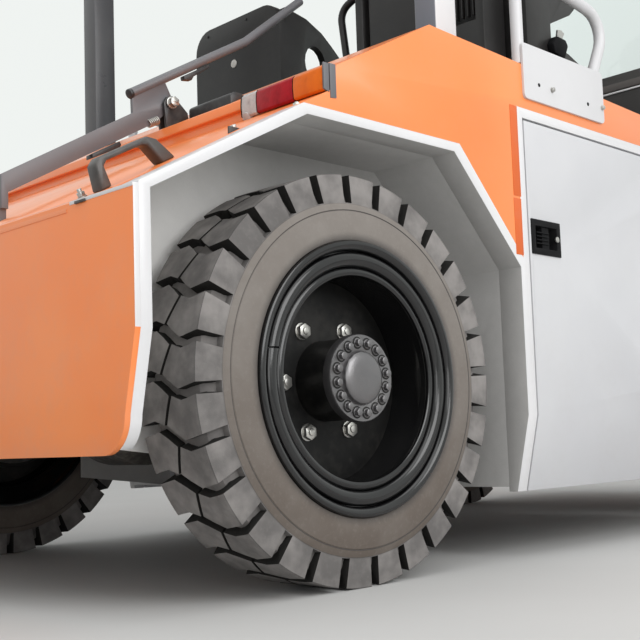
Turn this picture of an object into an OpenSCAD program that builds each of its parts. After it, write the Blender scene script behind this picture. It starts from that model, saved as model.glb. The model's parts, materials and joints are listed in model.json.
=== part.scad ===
// Airport baggage tug: a two-seat tow tractor with solid tyres, a sloped rear deck and a canopy.
// Frame: +X forward, +Y to the left, +Z up, origin on the floor below the middle of the vehicle.
// Rear pieces are placed from the rear axle line, front pieces from the front axle line.

/* [Overall] */
// Width over the body sides
body_w = 1500; // [1460:10:1560]
// Distance between the axle lines
wheelbase = 1900; // [1860:10:2000]
// Rear axle line to the rear face
rear_overhang = 502; // [495:1:540]
// Front axle line to the front of the bumper
front_overhang = 800; // [780:10:860]
// Thickness of the side panels
wall = 20; // [16:1:24]
// Thickness of the deck, floor and bulkhead plates
plate = 10; // [8:1:14]

/* [Rear wheels] */
// Rear tyre diameter over the lugs
tyre_od = 746; // [730:1:752]
// Width of the rear tread between its shoulders
tread_w = 155; // [150:1:160]
// How far a sidewall stands out past the shoulder
bulge = 11; // [8:1:12]
// Body side to the rear tyre's outer shoulder
side_gap = 30; // [26:1:40]
// Radius of the rear rim's lip
rim_lip_r = 250; // [246:1:254]
// Radius of the rear rim's barrel on the tyre side
rim_seat_r = 198; // [194:1:202]
// Pitch circle diameter of the rear wheel nuts
nut_pcd = 214; // [210:1:220]
// Number of rear wheel nuts
nut_count = 6; // [5:1:8]
// Lugs on each shoulder of a rear tyre
lug_count = 28; // [24:1:30]
// Depth of the grooves between a rear tyre's lugs
groove = 15; // [12:1:18]

/* [Front wheels] */
// Front tyre diameter over the tread
front_tyre_od = 590; // [570:5:610]
// Width of the front tread between its shoulders
front_tread_w = 150; // [140:1:156]
// Radius of the front rim's lip
front_lip_r = 160; // [156:1:166]
// Body side to the front wheel's middle plane
front_wheel_in = 110; // [105:1:114]
// Front wheel's middle plane to the kingpin axis
kingpin_in = 100; // [95:1:110]
// Lugs on each shoulder of a front tyre
front_lug_count = 22; // [20:1:24]
// Depth of the grooves between a front tyre's lugs
front_groove = 14; // [12:1:16]
// Length of the steering arm behind the kingpin
steer_arm = 120; // [115:1:125]

/* [Rear body] */
// Height of the rear face's lower edge
rear_low_z = 252; // [240:1:270]
// Height of the rear face's top edge, where the lower deck starts
rear_top_z = 655; // [640:1:665]
// Rear axle line to the back of the riser across the deck
riser_back = 66; // [58:1:74]
// Height of the riser's foot
riser_foot_z = 893; // [887:1:899]
// Height of the riser
riser_h = 40; // [36:1:48]
// Rear axle line to the crest of the upper deck
crest_x = 202; // [190:1:215]
// Height of the crest
crest_z = 1077; // [1065:1:1085]
// Height of the side panel's top edge at its front end
panel_front_z = 1046; // [1035:1:1055]
// Height of the top of the seat deck
seat_deck_z = 1020; // [1010:1:1030]
// Inward lean of the lower body sides, per unit of height
tuck = 0.235; // [0.2:0.005:0.25]
// Height where the rear corner starts to lean in
rear_tuck_z = 440; // [420:5:460]
// Height where the doors and sills start to lean in
side_tuck_z = 300; // [290:5:320]

/* [Wheel arch] */
// Rear axle line to the arch's rear upright, inside
arch_back = 471; // [465:1:475]
// Rear axle line to the arch's front upright, inside
arch_front = 473; // [468:1:480]
// Rear end of the arch's flat top, behind the axle line
arch_top_back = 139; // [130:1:150]
// Front end of the arch's flat top, ahead of the axle line
arch_top_front = 264; // [255:1:275]
// Height of the arch's top, inside
arch_top_z = 830; // [820:1:835]
// Height of the arch's front shoulder, inside
arch_shoulder_z = 614; // [600:1:625]
// Width of the pale flange round the arch's top
arch_band = 19; // [17:1:21]
// Width of the flange's two uprights
arch_upright = 31; // [28:1:34]
// Depth of the flange along Y
arch_depth = 60; // [50:1:70]
// Rear tyre's inner shoulder to the wheel house's inner wall
house_gap = 43; // [40:1:50]
// Thickness of the wheel house plates
house_t = 6; // [5:1:7]

/* [Side door] */
// Width of the door leaf
door_w = 580; // [560:5:600]
// Height of the sills and doors above the floor
sill_z = 140; // [130:5:160]
// Height of the door frame's top
door_frame_z = 967; // [955:1:975]
// Width of the door frame's top bar and front post
door_frame = 22; // [18:1:26]
// Gap all round the door leaf
door_gap = 5; // [5:0.5:7]
// Thickness of the door leaf
door_t = 25; // [22:1:28]
// Width of the door latch
latch_w = 109; // [100:1:115]
// Height of the door latch
latch_h = 77; // [70:1:82]
// Height of the latch's lower edge
latch_z = 647; // [630:1:660]

/* [Front body] */
// Half of the front arch's opening, along X
front_arch = 400; // [395:5:420]
// Height of the front arch's top
front_arch_z = 700; // [690:5:720]
// Height of the front body's side at the cowl
fender_back_z = 1046; // [1035:1:1055]
// Height of the front body's side at the nose
fender_nose_z = 840; // [820:5:860]
// Bonnet height above the fender line
bonnet_rise = 70; // [60:5:80]
// Radius of a headlamp
lamp_r = 70; // [60:1:75]
// Number of grille slats
slat_count = 7; // [5:1:9]

/* [Cab] */
// Height of the footwell floor's top
floor_z = 700; // [690:5:710]
// Rear axle line to the front of the seat deck
seat_deck_x = 1150; // [1145:1:1165]
// Height of the dash's top
dash_z = 1325; // [1315:1:1335]
// Fore and aft depth of the dash
dash_d = 200; // [190:5:210]
// Height of the dash's lower edge
dash_low_z = 1000; // [990:1:1010]
// Steering wheel's diameter
steer_d = 380; // [360:5:390]
// Tilt of the steering wheel from level
steer_tilt = 35; // [30:1:38]

/* [Seats] */
// Body side to the middle of a seat
seat_in = 310; // [305:1:315]
// Rear axle line to the back of a seat shell
seat_x = 700; // [695:1:710]
// Width of a seat shell over its wings
seat_w = 400; // [390:5:405]
// Height of a cushion's top above the seat deck
cushion_h = 125; // [115:5:135]
// Length of a cushion
cushion_l = 400; // [380:5:410]
// Height of a shell above the seat deck
shell_h = 555; // [540:5:565]
// Length of a shell's wings
wing_l = 255; // [245:5:260]
// Height of the box behind the right seat
box_h = 480; // [460:5:500]
// Width of the box
box_w = 420; // [410:5:430]

/* [Canopy] */
// Height of the canopy's top
canopy_z = 2150; // [2100:10:2200]
// Thickness of the canopy roof
canopy_t = 50; // [40:1:60]
// Fore and aft width of a post
post_l = 70; // [60:1:80]
// Width of a post across the vehicle
post_w = 60; // [50:1:64]
// Body side to the middle of a post
post_in = 100; // [95:1:105]
// Rear axle line to the middle of the rear posts
post_x = 345; // [335:5:355]

/* [Hitch] */
// How far the hitch reaches behind the rear face
hitch_reach = 110; // [105:1:125]
// Height of the tow eye's middle plane
hitch_z = 400; // [380:5:420]
// Radius of the hitch pin
pin_r = 16; // [14:0.5:18]
// Height of the throat that takes the tow eye
throat_h = 60; // [50:1:70]

/* [Hidden] */
$fn = 48;

ORANGE = "#E8813A";
PALE = "#DCDCDC";
GREY = "#8C8A86";
BLACK = "#1C1C1E";
RUBBER = "#4A4641";
STEEL = "#8E9194";

length = hitch_reach + rear_overhang + wheelbase + front_overhang;
half_w = body_w / 2;
rear_x = -length / 2 + hitch_reach;
axle_x = rear_x + rear_overhang;
front_x = axle_x + wheelbase;
nose_x = front_x + front_overhang;

// Rear wheels
tyre_r = tyre_od / 2;
wheel_y = half_w - side_gap - tread_w / 2;
house_y = wheel_y - tread_w / 2 - house_gap;
fit = 0.3;
running = 0.05;

// Rear deck line, from the rear face's top edge up to the riser's foot
riser_x = axle_x - riser_back;
deck_slope = (riser_foot_z - rear_top_z) / (riser_x - rear_x);
riser_top_z = riser_foot_z + riser_h;
crest_at = axle_x + crest_x;
upper_slope = (crest_z - riser_top_z) / (crest_at - riser_x);
arch_front_x = axle_x + arch_front;
arch_back_x = axle_x - arch_back;
arch_foot_z = rear_top_z + deck_slope * (arch_back_x - rear_x) - arch_band;
corner_r = 60;
shoulder_rise = 21;
upright_x = arch_front_x + 10;
flange_top_z = arch_top_z + arch_band;
flange_apex_x = rear_x + (flange_top_z - rear_top_z) / deck_slope;
flange_nose_x = axle_x + arch_top_front + 18;

// Door and entry, along X
door_back_x = arch_front_x + arch_upright + door_gap;
door_front_x = door_back_x + door_w;
post_front_x = door_front_x + door_gap + door_frame + 8;
fender_x = front_x - front_arch - 55;
door_top_z = door_frame_z - door_frame;
panel_slope = (panel_front_z - crest_z) / (post_front_x - crest_at);
latch_x = door_back_x + 6;
hinge_r = 7;
hinge_pin_r = 3;
door_hinge_x = door_front_x;
door_hinge_y = half_w + hinge_r;
hinge_heights = [sill_z + 240, door_top_z - 120];

// Frame rails
rail_in = 270;
rail_w = 70;
rail_low_z = 470;
rail_h = 100;
rail_end_x = nose_x - 100;
battery_y = half_w - 110;

// Cab
seat_deck_front_x = axle_x + seat_deck_x;
step_z = sill_z + 230;
dash_back_x = fender_x - 45;
dash_front_x = dash_back_x + dash_d;
seat_at = axle_x + seat_x;
seat_y = half_w - seat_in;
column_x = dash_back_x - 165;
column_z = dash_z + 15;
post_at = axle_x + post_x;
post_y = half_w - post_in;
front_post_x = dash_front_x - 45;

// Hip guards, from the photo's right side
guard_x = axle_x + 519;
guard_l = 316;
guard_z = 990;
guard_h = 125;
guard_r = 14;
guard_top_z = 1310;

// Bonnet, grille and headlamps
bonnet_x = dash_front_x + 26;
bonnet_pin_r = 5;
bonnet_barrel_r = 12;
bonnet_hinge_y = half_w - 270;
bonnet_barrel_l = 60;
front_house_y = rail_in + rail_w + 4;
grille_w = body_w - 880;
grille_low_z = 470;
grille_top_z = 760;
lamp_y = half_w - 210;
lamp_z = 640;
nose_panel_x = nose_x - 60;
fender_slope = (fender_nose_z - fender_back_z) / (nose_panel_x - fender_x);
bonnet_hinge_z = fender_line(bonnet_x) + bonnet_rise - 20;

// Front axle
front_r = front_tyre_od / 2;
front_wheel_y = half_w - front_wheel_in;
kingpin_y = front_wheel_y - kingpin_in;
beam_w = 80;
beam_h = 100;
boss_r = 32;
boss_h = 110;
lug_t = 20;
lug_gap = 5;
arm_in = 35;
kingpin_r = 14;
cylinder_z = front_r + boss_h / 2 + lug_gap + lug_t + 22;

// Hitch
hitch_w = 160;
jaw_t = 24;
hitch_pin_x = rear_x - hitch_reach + 50;
lever_x = -49;
lever_y = -220;

function fender_line(x) = fender_back_z + fender_slope * (x - fender_x);
function panel_line(x) = crest_z + panel_slope * (x - crest_at);
function deck_line(x) = rear_top_z + deck_slope * (x - rear_x);

// Heading of the stretch that ends at a path's point i, and the direction to its left
function heading(path, i) = atan2(path[i][1] - path[i - 1][1], path[i][0] - path[i - 1][0]);
function normal(a) = [-sin(a), cos(a)];

// A path in X and Z with its inner corners rounded to one radius
function rounded(points, radius, steps = 6) = [
  for (i = [0:len(points) - 1])
    if (i == 0 || i == len(points) - 1) points[i]
    else let (
      a = heading(points, i),
      turn = (heading(points, i + 1) - a + 540) % 360 - 180,
      left = radius * sign(turn),
      start = points[i] - radius * tan(abs(turn) / 2) * [cos(a), sin(a)]
    ) each [for (k = [0:steps]) start + left * (normal(a) - normal(a + turn * k / steps))]
];

// Both sides of the vehicle
module both() {
  children();
  mirror([0, 1, 0]) children();
}

// A block given by its two opposite corners
module block(low, high) {
  translate(low) cube(high - low);
}

// A side profile in X and Z, extruded from y1 to y2
module profile(y1, y2, points) {
  translate([0, y2, 0]) rotate([90, 0, 0]) linear_extrude(height = y2 - y1) polygon(points);
}

// A round tube through points in X and Z at one Y, bent to a radius at each inner point
module bent_tube(y, points, r, bend) {
  path = rounded(points, bend);
  last = len(path) - 1;
  sides = 16;
  rings = [for (i = [0:last]) let (
    before = heading(path, max(i, 1)),
    after = heading(path, min(i + 1, last)),
    across = r / cos((after - before) / 2),
    n = normal((before + after) / 2)
  ) each [for (k = [0:sides - 1]) let (a = k * 360 / sides)
    [path[i][0] + across * cos(a) * n[0], y + r * sin(a), path[i][1] + across * cos(a) * n[1]]]];
  polyhedron(rings, [
    [for (k = [sides - 1:-1:0]) k],
    for (i = [0:last - 1], k = [0:sides - 1]) let (a = i * sides + k, b = i * sides + (k + 1) % sides)
      each [[a, b, a + sides], [a + sides, b, b + sides]],
    [for (k = [0:sides - 1]) last * sides + k]
  ]);
}

// Places a wheel with its own Z axis outboard: side is 1 on the left, and -1 on the right, which
// is the left one's mirror image
module at_wheel(side, x, y, z) {
  mirror([0, side < 0 ? 1 : 0, 0]) translate([x, y, z]) rotate([-90, 0, 0]) children();
}

// Lugs of both rows of a tyre, from inside the carcass at the radius foot out to the radius r. s is
// half of the tread's width, and phase the angle of the first groove above the rearmost point
module lugs(r, s, foot, count, phase) {
  pitch = 2 * PI * r / count;
  // Share of the pitch, counted up from the groove, and share of s, from the middle out
  outline = [
    [0.215, -0.12], [-0.095, 0.43], [0.012, 1], [0.785, 1], [0.69, 0.5], [0.785, 0.16]
  ];
  intersection() {
    cylinder(r = r, h = 2 * s, center = true, $fn = 96);
    for (i = [0:count - 1], row = [1, -1]) rotate(180 + phase + (i + 0.5 - 0.1 * row) * 360 / count)
      rotate([0, 90, 0]) translate([0, 0, foot]) linear_extrude(height = r + 5 - foot)
        polygon([for (p = outline) row * [-s * p[1], pitch * (p[0] - 0.4)]]);
  }
}

// Frame: two rails, cross members and the plate that carries the hitch
module frame() {
  color(BLACK) {
    both() block([rear_x + plate + 2, rail_in, rail_low_z],
                 [rail_end_x, rail_in + rail_w, rail_low_z + rail_h]);
    for (x = [rear_x + plate + 2, axle_x + 520, fender_x - 100, rail_end_x - 80])
      block([x, -rail_in, rail_low_z], [x + 80, rail_in, rail_low_z + rail_h]);
    block([rear_x + plate + 2, -200, rear_low_z + 20], [rear_x + plate + 22, 200, rail_low_z]);
    both() block([axle_x - 60, rail_in, tyre_r + 60], [axle_x + 60, rail_in + rail_w, rail_low_z]);
    both() block([front_x - 40, rail_in, front_r + beam_h / 2],
                 [front_x + 40, rail_in + rail_w, rail_low_z]);
  }
}

// Battery: one plain block, the heavy mass below the seats
module battery_block() {
  color(BLACK)
    block([axle_x + 560, -battery_y, rail_low_z + rail_h],
          [seat_deck_front_x - 40, battery_y, seat_deck_z - 50]);
}

// Cab floor: seat deck, leg bulkhead, footwell floor and dash bulkhead
module cab_floor() {
  y = half_w - wall;
  color(BLACK) {
    block([crest_at + plate, -y, seat_deck_z - plate], [seat_deck_front_x, y, seat_deck_z]);
    block([seat_deck_front_x - plate, -y, floor_z - plate], [seat_deck_front_x, y, seat_deck_z - plate]);
    block([seat_deck_front_x, -y, floor_z - plate], [dash_front_x, y, floor_z]);
    block([dash_front_x - plate, -y, floor_z], [dash_front_x, y, dash_low_z]);
    both() block([seat_deck_front_x + 20, rail_in, rail_low_z + rail_h],
                 [seat_deck_front_x + 60, rail_in + rail_w, floor_z - plate]);
  }
}

// Steps: a tray behind each step hole, hung from the footwell floor on two straps
module steps() {
  x1 = seat_deck_front_x + 20;
  x2 = fender_x - 20;
  y = half_w - 190;
  color(BLACK) both() {
    block([x1, y, step_z - 8], [x2, half_w - wall - 0.3, step_z]);
    for (x = [x1, x2 - 8]) block([x, y, step_z], [x + 8, y + 8, floor_z - plate]);
  }
}

// Rear axle: tube, differential, backing plates and spindles
module rear_axle() {
  color(STEEL) translate([axle_x, 0, tyre_r]) rotate([90, 0, 0]) {
    cylinder(r = 60, h = 2 * wheel_y - 200, center = true);
    cylinder(r = 45, h = 2 * wheel_y + 120, center = true);
    rotate_extrude() polygon([[0, -150], [90, -130], [150, -60], [150, 60], [90, 130], [0, 150]]);
    for (side = [-1, 1]) translate([0, 0, side * (wheel_y - 106)])
      cylinder(r = 140, h = 10, center = true);
  }
}

// One rear tyre, out to the tips of its lugs
module rear_tyre(side) {
  s = tread_w / 2;
  w = s + bulge;
  foot = tyre_r - 56;
  base = tyre_r - groove;
  color(RUBBER) at_wheel(side, axle_x, wheel_y, tyre_r) {
    rotate_extrude($fn = 48) polygon([
      [rim_seat_r + 0.5, -57], [rim_seat_r + 8.5, -65], [rim_lip_r - 7, -71], [rim_lip_r + 0.6, -79],
      [rim_lip_r + 0.6, 3 - w], [rim_lip_r + 14, -w], [foot - 4, -w], [foot, -s - 2], [foot + 4, 18 - s],
      [base, 26 - s], [base, s - 26], [foot + 4, s - 18], [foot, s + 2], [foot - 4, w],
      [rim_lip_r + 14, w], [rim_lip_r + 0.6, w - 3], [rim_lip_r + 0.6, 82], [rim_lip_r - 10, 77],
      [rim_lip_r - 22, 69], [rim_seat_r + 14.5, 66], [rim_seat_r + 0.5, 51]
    ]);
    lugs(tyre_r, s, foot - 3, lug_count, 11);
  }
}

// One rear rim: barrel, lips and disc
module rear_rim(side) {
  a = rim_lip_r;
  b = rim_seat_r;
  color(BLACK) at_wheel(side, axle_x, wheel_y, tyre_r) difference() {
    union() {
      rotate_extrude($fn = 96) polygon([
        [a, 93], [a - 12, 93], [a - 18, 86], [a - 26, 79], [b + 8, 76], [b - 2, 70], [b - 8, 58],
        [b - 8, -62], [b, -74], [a - 14, -80], [a - 10, -88], [a, -88],
        [a, -80], [a - 7, -72], [b + 8, -66], [b, -58],
        [b, 52], [b + 7, 62], [b + 14, 67], [a - 22, 70], [a - 10, 78], [a, 82]
      ]);
      translate([0, 0, -22]) cylinder(r = b - 4, h = 14.5, $fn = 96);
    }
    translate([0, 0, -50]) cylinder(r = 75 + fit, h = 100);
    for (i = [0:nut_count - 1]) rotate(i * 360 / nut_count)
      translate([nut_pcd / 2, 0, -50]) cylinder(r = 10 + fit, h = 100);
  }
}

// One rear hub: drum, flange, barrel, end flange and cap, with the wheel's studs and nuts
module rear_hub(side) {
  color(STEEL) at_wheel(side, axle_x, wheel_y, tyre_r) {
    difference() {
      union() {
        translate([0, 0, -95]) cylinder(r = 150, h = 59);
        translate([0, 0, -36]) cylinder(r = 130, h = 14);
        translate([0, 0, -22]) cylinder(r = 75, h = 84);
        translate([0, 0, 62]) cylinder(r = 80, h = 19.5);
        translate([0, 0, 81.5]) rotate_extrude()
          polygon([[0, 0], [48, 0], [46, 6], [34, 10], [0, 12]]);
        for (i = [0:nut_count - 1]) rotate(i * 360 / nut_count)
          translate([nut_pcd / 2, 0, -24]) cylinder(r = 10, h = 44);
      }
      translate([0, 0, -96]) cylinder(r = 45 + running, h = 96 + 60.5);
    }
    for (i = [0:nut_count - 1]) rotate(i * 360 / nut_count) translate([nut_pcd / 2, 0, -7.5])
      cylinder(r = 18, h = 18, $fn = 6);
  }
}

// Front axle: beam with kingpin bosses and the steering cylinder behind it
module front_axle() {
  color(BLACK) difference() {
    union() {
      block([front_x - beam_w / 2, -kingpin_y + 50, front_r - beam_h / 2],
            [front_x + beam_w / 2, kingpin_y - 50, front_r + beam_h / 2]);
      both() {
        translate([front_x, kingpin_y, front_r]) cylinder(r = boss_r, h = boss_h, center = true);
        block([front_x - 22, kingpin_y - 52, front_r - beam_h / 2],
              [front_x + 22, kingpin_y, front_r + beam_h / 2]);
        block([front_x - steer_arm - 20, 120, front_r + beam_h / 2 - 20],
              [front_x - beam_w / 2, 150, front_r + beam_h / 2 + 66]);
      }
      translate([front_x - steer_arm, 0, cylinder_z]) rotate([90, 0, 0])
        cylinder(r = 34, h = 360, center = true);
    }
    both() translate([front_x, kingpin_y, front_r])
      cylinder(r = kingpin_r + running, h = boss_h + 2, center = true);
    translate([front_x - steer_arm, 0, cylinder_z]) rotate([90, 0, 0])
      cylinder(r = kingpin_r + running, h = 400, center = true);
  }
}

// One steering knuckle: lugs round the kingpin boss, web, spindle and arm
module knuckle(side) {
  lug_z = boss_h / 2 + lug_gap;
  color(STEEL) translate([front_x, side * kingpin_y, front_r]) mirror([0, side < 0 ? 1 : 0, 0]) {
    for (z = [-lug_z - lug_t, lug_z]) {
      translate([0, 0, z]) cylinder(r = boss_r, h = lug_t);
      block([-30, 0, z], [30, 60, z + lug_t]);
    }
    block([-30, 40, -lug_z - 1], [30, 60, lug_z + 1]);
    cylinder(r = kingpin_r, h = 2 * lug_z + 2, center = true);
    translate([0, 60, 0]) rotate([-90, 0, 0]) cylinder(r = 22, h = 80);
    translate([0, 0, lug_z]) linear_extrude(height = lug_t)
      polygon([[-20, -16], [-steer_arm, -arm_in - 16], [-steer_arm - 16, -arm_in],
               [-steer_arm, 16 - arm_in], [-20, 20]]);
  }
}

// Steering rod: runs through the cylinder, with an eye over each arm
module steering_rod() {
  eye_y = kingpin_y - arm_in;
  color(STEEL) {
    translate([front_x - steer_arm, 0, cylinder_z]) rotate([90, 0, 0])
      cylinder(r = kingpin_r, h = 2 * eye_y - 30, center = true);
    both() translate([front_x - steer_arm, eye_y, cylinder_z]) cylinder(r = 20, h = 24, center = true);
  }
}

// One front tyre
module front_tyre(side) {
  s = front_tread_w / 2;
  w = s + 8;
  a = front_lip_r;
  foot = front_r - 46;
  base = front_r - front_groove;
  color(RUBBER) at_wheel(side, front_x, front_wheel_y, front_r) {
    rotate_extrude($fn = 48) polygon([
      [127.5, -50], [a + 0.6, -60], [a + 0.6, 3 - w], [a + 12, -w], [foot - 4, -w], [foot, -s - 2],
      [foot + 4, 18 - s], [base, 26 - s], [base, s - 26], [foot + 4, s - 18], [foot, s + 2],
      [foot - 4, w], [a + 12, w], [a + 0.6, w - 3], [a + 0.6, 60], [127.5, 50]
    ]);
    lugs(front_r, s, foot - 3, front_lug_count, 5);
  }
}

// One front wheel: rim, disc and hub
module front_wheel(side) {
  a = front_lip_r;
  color(BLACK) at_wheel(side, front_x, front_wheel_y, front_r) difference() {
    union() {
      rotate_extrude($fn = 96) polygon([
        [a, 84], [a - 8, 84], [128, 66], [119, 56], [119, -56], [a - 8, -78], [a, -78],
        [a, -62], [127, -51], [127, 51], [a, 62]
      ]);
      translate([0, 0, -5]) cylinder(r = 122, h = 12);
      translate([0, 0, -17]) cylinder(r = 76, h = 12);
      translate([0, 0, -32]) cylinder(r = 50, h = 90);
      for (i = [0:4]) rotate(i * 72) translate([68, 0, 0]) cylinder(r = 12, h = 22, $fn = 6);
    }
    translate([0, 0, -33]) cylinder(r = 22 + running, h = 76);
  }
}

// Body section across the vehicle for the rear corner, filled, seen from behind
module rear_section() {
  corner_y = half_w - (rear_tuck_z - rear_low_z - corner_r) * tuck;
  both_2d() {
    polygon([[0, rear_low_z], [corner_y - corner_r, rear_low_z],
             [corner_y - corner_r, rear_low_z + corner_r], [corner_y, rear_low_z + corner_r],
             [half_w, rear_tuck_z], [half_w, arch_top_z + 40], [0, arch_top_z + 40]]);
    translate([corner_y - corner_r, rear_low_z + corner_r]) circle(r = corner_r);
  }
}

// Mirrors a flat shape about its Y axis
module both_2d() {
  children();
  mirror([1, 0]) children();
}

// Extrudes a section drawn across the vehicle from x1 to x2
module along(x1, x2) {
  translate([x1, 0, 0]) rotate([90, 0, 90]) linear_extrude(height = x2 - x1) children();
}

// Left side wall of thickness t with its lower part leaning in, from x1 to x2 and z1 to z2
module side_wall(x1, x2, z1, z2, t) {
  lean = (side_tuck_z - z1) * tuck;
  along(x1, x2) polygon(z1 < side_tuck_z
    ? [[half_w, z2], [half_w - t, z2], [half_w - t, side_tuck_z], [half_w - t - lean, z1],
       [half_w - lean, z1], [half_w, side_tuck_z]]
    : [[half_w, z2], [half_w - t, z2], [half_w - t, z1], [half_w, z1]]);
}

// Rear body: rear face, lower deck, riser, upper deck and side panels
module rear_body() {
  t = plate * 1.14;
  y = half_w - wall;
  x0 = rear_x + plate;
  color(ORANGE) {
    along(rear_x, x0) intersection() {
      rear_section();
      translate([-half_w, 0]) square([body_w, rear_top_z]);
    }
    profile(-half_w + arch_depth, half_w - arch_depth, [
      [x0, deck_line(x0)], [riser_x, riser_foot_z], [riser_x, riser_foot_z - t], [x0, deck_line(x0) - t]
    ]);
    profile(-y, y, [
      [riser_x, riser_top_z], [crest_at, crest_z], [crest_at + plate, crest_z],
      [crest_at + plate, seat_deck_z - plate], [crest_at, seat_deck_z - plate], [crest_at, crest_z - t],
      [riser_x + plate, riser_top_z + upper_slope * plate - t], [riser_x + plate, riser_foot_z - t],
      [riser_x, riser_foot_z - t]
    ]);
    both() {
      profile(half_w - arch_depth, half_w, [
        [flange_apex_x, flange_top_z], [riser_x, riser_foot_z], [riser_x, flange_top_z]
      ]);
      profile(y, half_w, [
        [riser_x, flange_top_z], [riser_x, riser_top_z], [crest_at, crest_z],
        [post_front_x, panel_front_z], [post_front_x, door_frame_z],
        [upright_x, door_frame_z], [upright_x, arch_shoulder_z + shoulder_rise],
        [flange_nose_x, flange_top_z]
      ]);
    }
  }
}

// Side frames: arch flanges, uprights and door frames
module side_frames() {
  color(PALE) both() {
    intersection() {
      profile(half_w - arch_depth, half_w, [
        [rear_x, rear_low_z], [rear_x, rear_top_z], [flange_apex_x, flange_top_z],
        [flange_nose_x, flange_top_z], [upright_x, arch_shoulder_z + shoulder_rise],
        [upright_x, arch_shoulder_z], [arch_front_x, arch_shoulder_z],
        [axle_x + arch_top_front, arch_top_z], [axle_x - arch_top_back, arch_top_z],
        [arch_back_x, arch_foot_z], [arch_back_x, rear_low_z]
      ]);
      along(rear_x + plate, arch_front_x + arch_upright) rear_section();
    }
    intersection() {
      side_wall(arch_front_x, arch_front_x + arch_upright, sill_z, arch_shoulder_z, arch_depth + 40);
      block([arch_front_x, half_w - arch_depth, sill_z], [door_back_x, half_w, arch_shoulder_z]);
    }
    side_wall(upright_x, arch_front_x + arch_upright, arch_shoulder_z, door_frame_z, wall);
    side_wall(arch_front_x + arch_upright, post_front_x, door_top_z, door_frame_z, wall);
    side_wall(door_front_x + door_gap, post_front_x, sill_z, door_top_z, wall);
    for (z = hinge_heights) {
      translate([door_hinge_x, door_hinge_y, z]) cylinder(r = hinge_pin_r, h = 62, center = true);
      for (dz = [-21, 21]) {
        translate([door_hinge_x, door_hinge_y, z + dz]) cylinder(r = hinge_r, h = 20, center = true);
        block([door_hinge_x, half_w, z + dz - 10], [door_hinge_x + 36, half_w + 4, z + dz + 10]);
      }
    }
  }
}

// Entry panels ahead of the doors, each with its step hole
module entry_panels() {
  color(PALE) both() difference() {
    side_wall(post_front_x, fender_x, sill_z, floor_z, wall);
    block([post_front_x + 45, half_w - 100, step_z], [fender_x - 45, half_w + 10, step_z + 200]);
  }
}

// Wheel houses: folded plates round both pairs of wheels, with their inner walls
module wheel_houses() {
  t = house_t;
  rear_outer = [
    [arch_back_x - t, rear_low_z + 20], [arch_back_x - t, arch_foot_z + 2],
    [axle_x - arch_top_back - 2, arch_top_z + t], [axle_x + arch_top_front + 4, arch_top_z + t],
    [arch_front_x + t, arch_shoulder_z + 4], [arch_front_x + t, sill_z + 10]
  ];
  rear_inner = [
    [arch_front_x, sill_z + 10], [arch_front_x, arch_shoulder_z], [axle_x + arch_top_front, arch_top_z],
    [axle_x - arch_top_back, arch_top_z], [arch_back_x, arch_foot_z], [arch_back_x, rear_low_z + 20]
  ];
  front_outer = [
    [front_x - front_arch - t, side_tuck_z], [front_x - front_arch - t, 464],
    [front_x - 244, front_arch_z + t], [front_x + 244, front_arch_z + t],
    [front_x + front_arch + t, 464], [front_x + front_arch + t, side_tuck_z]
  ];
  front_inner = [
    [front_x + front_arch, side_tuck_z], [front_x + front_arch, 460], [front_x + 240, front_arch_z],
    [front_x - 240, front_arch_z], [front_x - front_arch, 460], [front_x - front_arch, side_tuck_z]
  ];
  color(GREY) both() {
    profile(house_y + t, half_w - arch_depth, concat(rear_outer, rear_inner));
    difference() {
      profile(house_y, house_y + t, rear_outer);
      block([axle_x - 190, house_y - 10, 0], [axle_x + 190, house_y + 20, tyre_r + 160]);
    }
    profile(front_house_y + t, half_w - wall, concat(front_outer, front_inner));
    difference() {
      profile(front_house_y, front_house_y + t, front_outer);
      block([front_x - front_arch, front_house_y - 10, 0], [front_x + front_arch, front_house_y + 20, 470]);
    }
  }
}

// Front body: fenders, their top shelves and the nose panel with its openings
module front_body() {
  y = half_w - wall;
  color(ORANGE) {
    both() {
      intersection() {
        side_wall(fender_x, nose_panel_x, sill_z, fender_back_z + 10, wall);
        profile(half_w - 80, half_w + 5, [
          [fender_x, sill_z], [front_x - front_arch, sill_z], [front_x - front_arch, 460],
          [front_x - 240, front_arch_z], [front_x + 240, front_arch_z], [front_x + front_arch, 460],
          [front_x + front_arch, rear_low_z], [nose_panel_x, rear_low_z],
          [nose_panel_x, fender_nose_z], [fender_x, fender_back_z]
        ]);
      }
      profile(y - 90, y, [
        [dash_front_x, fender_line(dash_front_x)],
        [nose_panel_x - plate, fender_line(nose_panel_x - plate)],
        [nose_panel_x - plate, fender_line(nose_panel_x - plate) - plate],
        [dash_front_x, fender_line(dash_front_x) - plate]
      ]);
    }
    difference() {
      block([nose_panel_x - plate, -y, rear_low_z], [nose_panel_x, y, fender_nose_z]);
      block([nose_panel_x - 50, -grille_w / 2, grille_low_z],
            [nose_panel_x + 10, grille_w / 2, grille_top_z]);
      both() translate([nose_panel_x - 50, lamp_y, lamp_z]) rotate([0, 90, 0])
        cylinder(r = lamp_r + fit, h = 80);
    }
  }
}

// Grille: a frame with level slats, set in the nose panel
module grille() {
  w = grille_w / 2 - fit;
  low = grille_low_z + fit;
  high = grille_top_z - fit;
  pitch = (high - low - 15) / slat_count;
  color(BLACK) {
    difference() {
      block([nose_panel_x - 30, -w, low], [nose_panel_x + 6, w, high]);
      block([nose_panel_x - 40, 15 - w, low + 15], [nose_panel_x + 20, w - 15, high - 15]);
    }
    for (i = [1:slat_count - 1])
      block([nose_panel_x - 24, 15 - w, low + i * pitch], [nose_panel_x, w - 15, low + i * pitch + 15]);
  }
}

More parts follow.
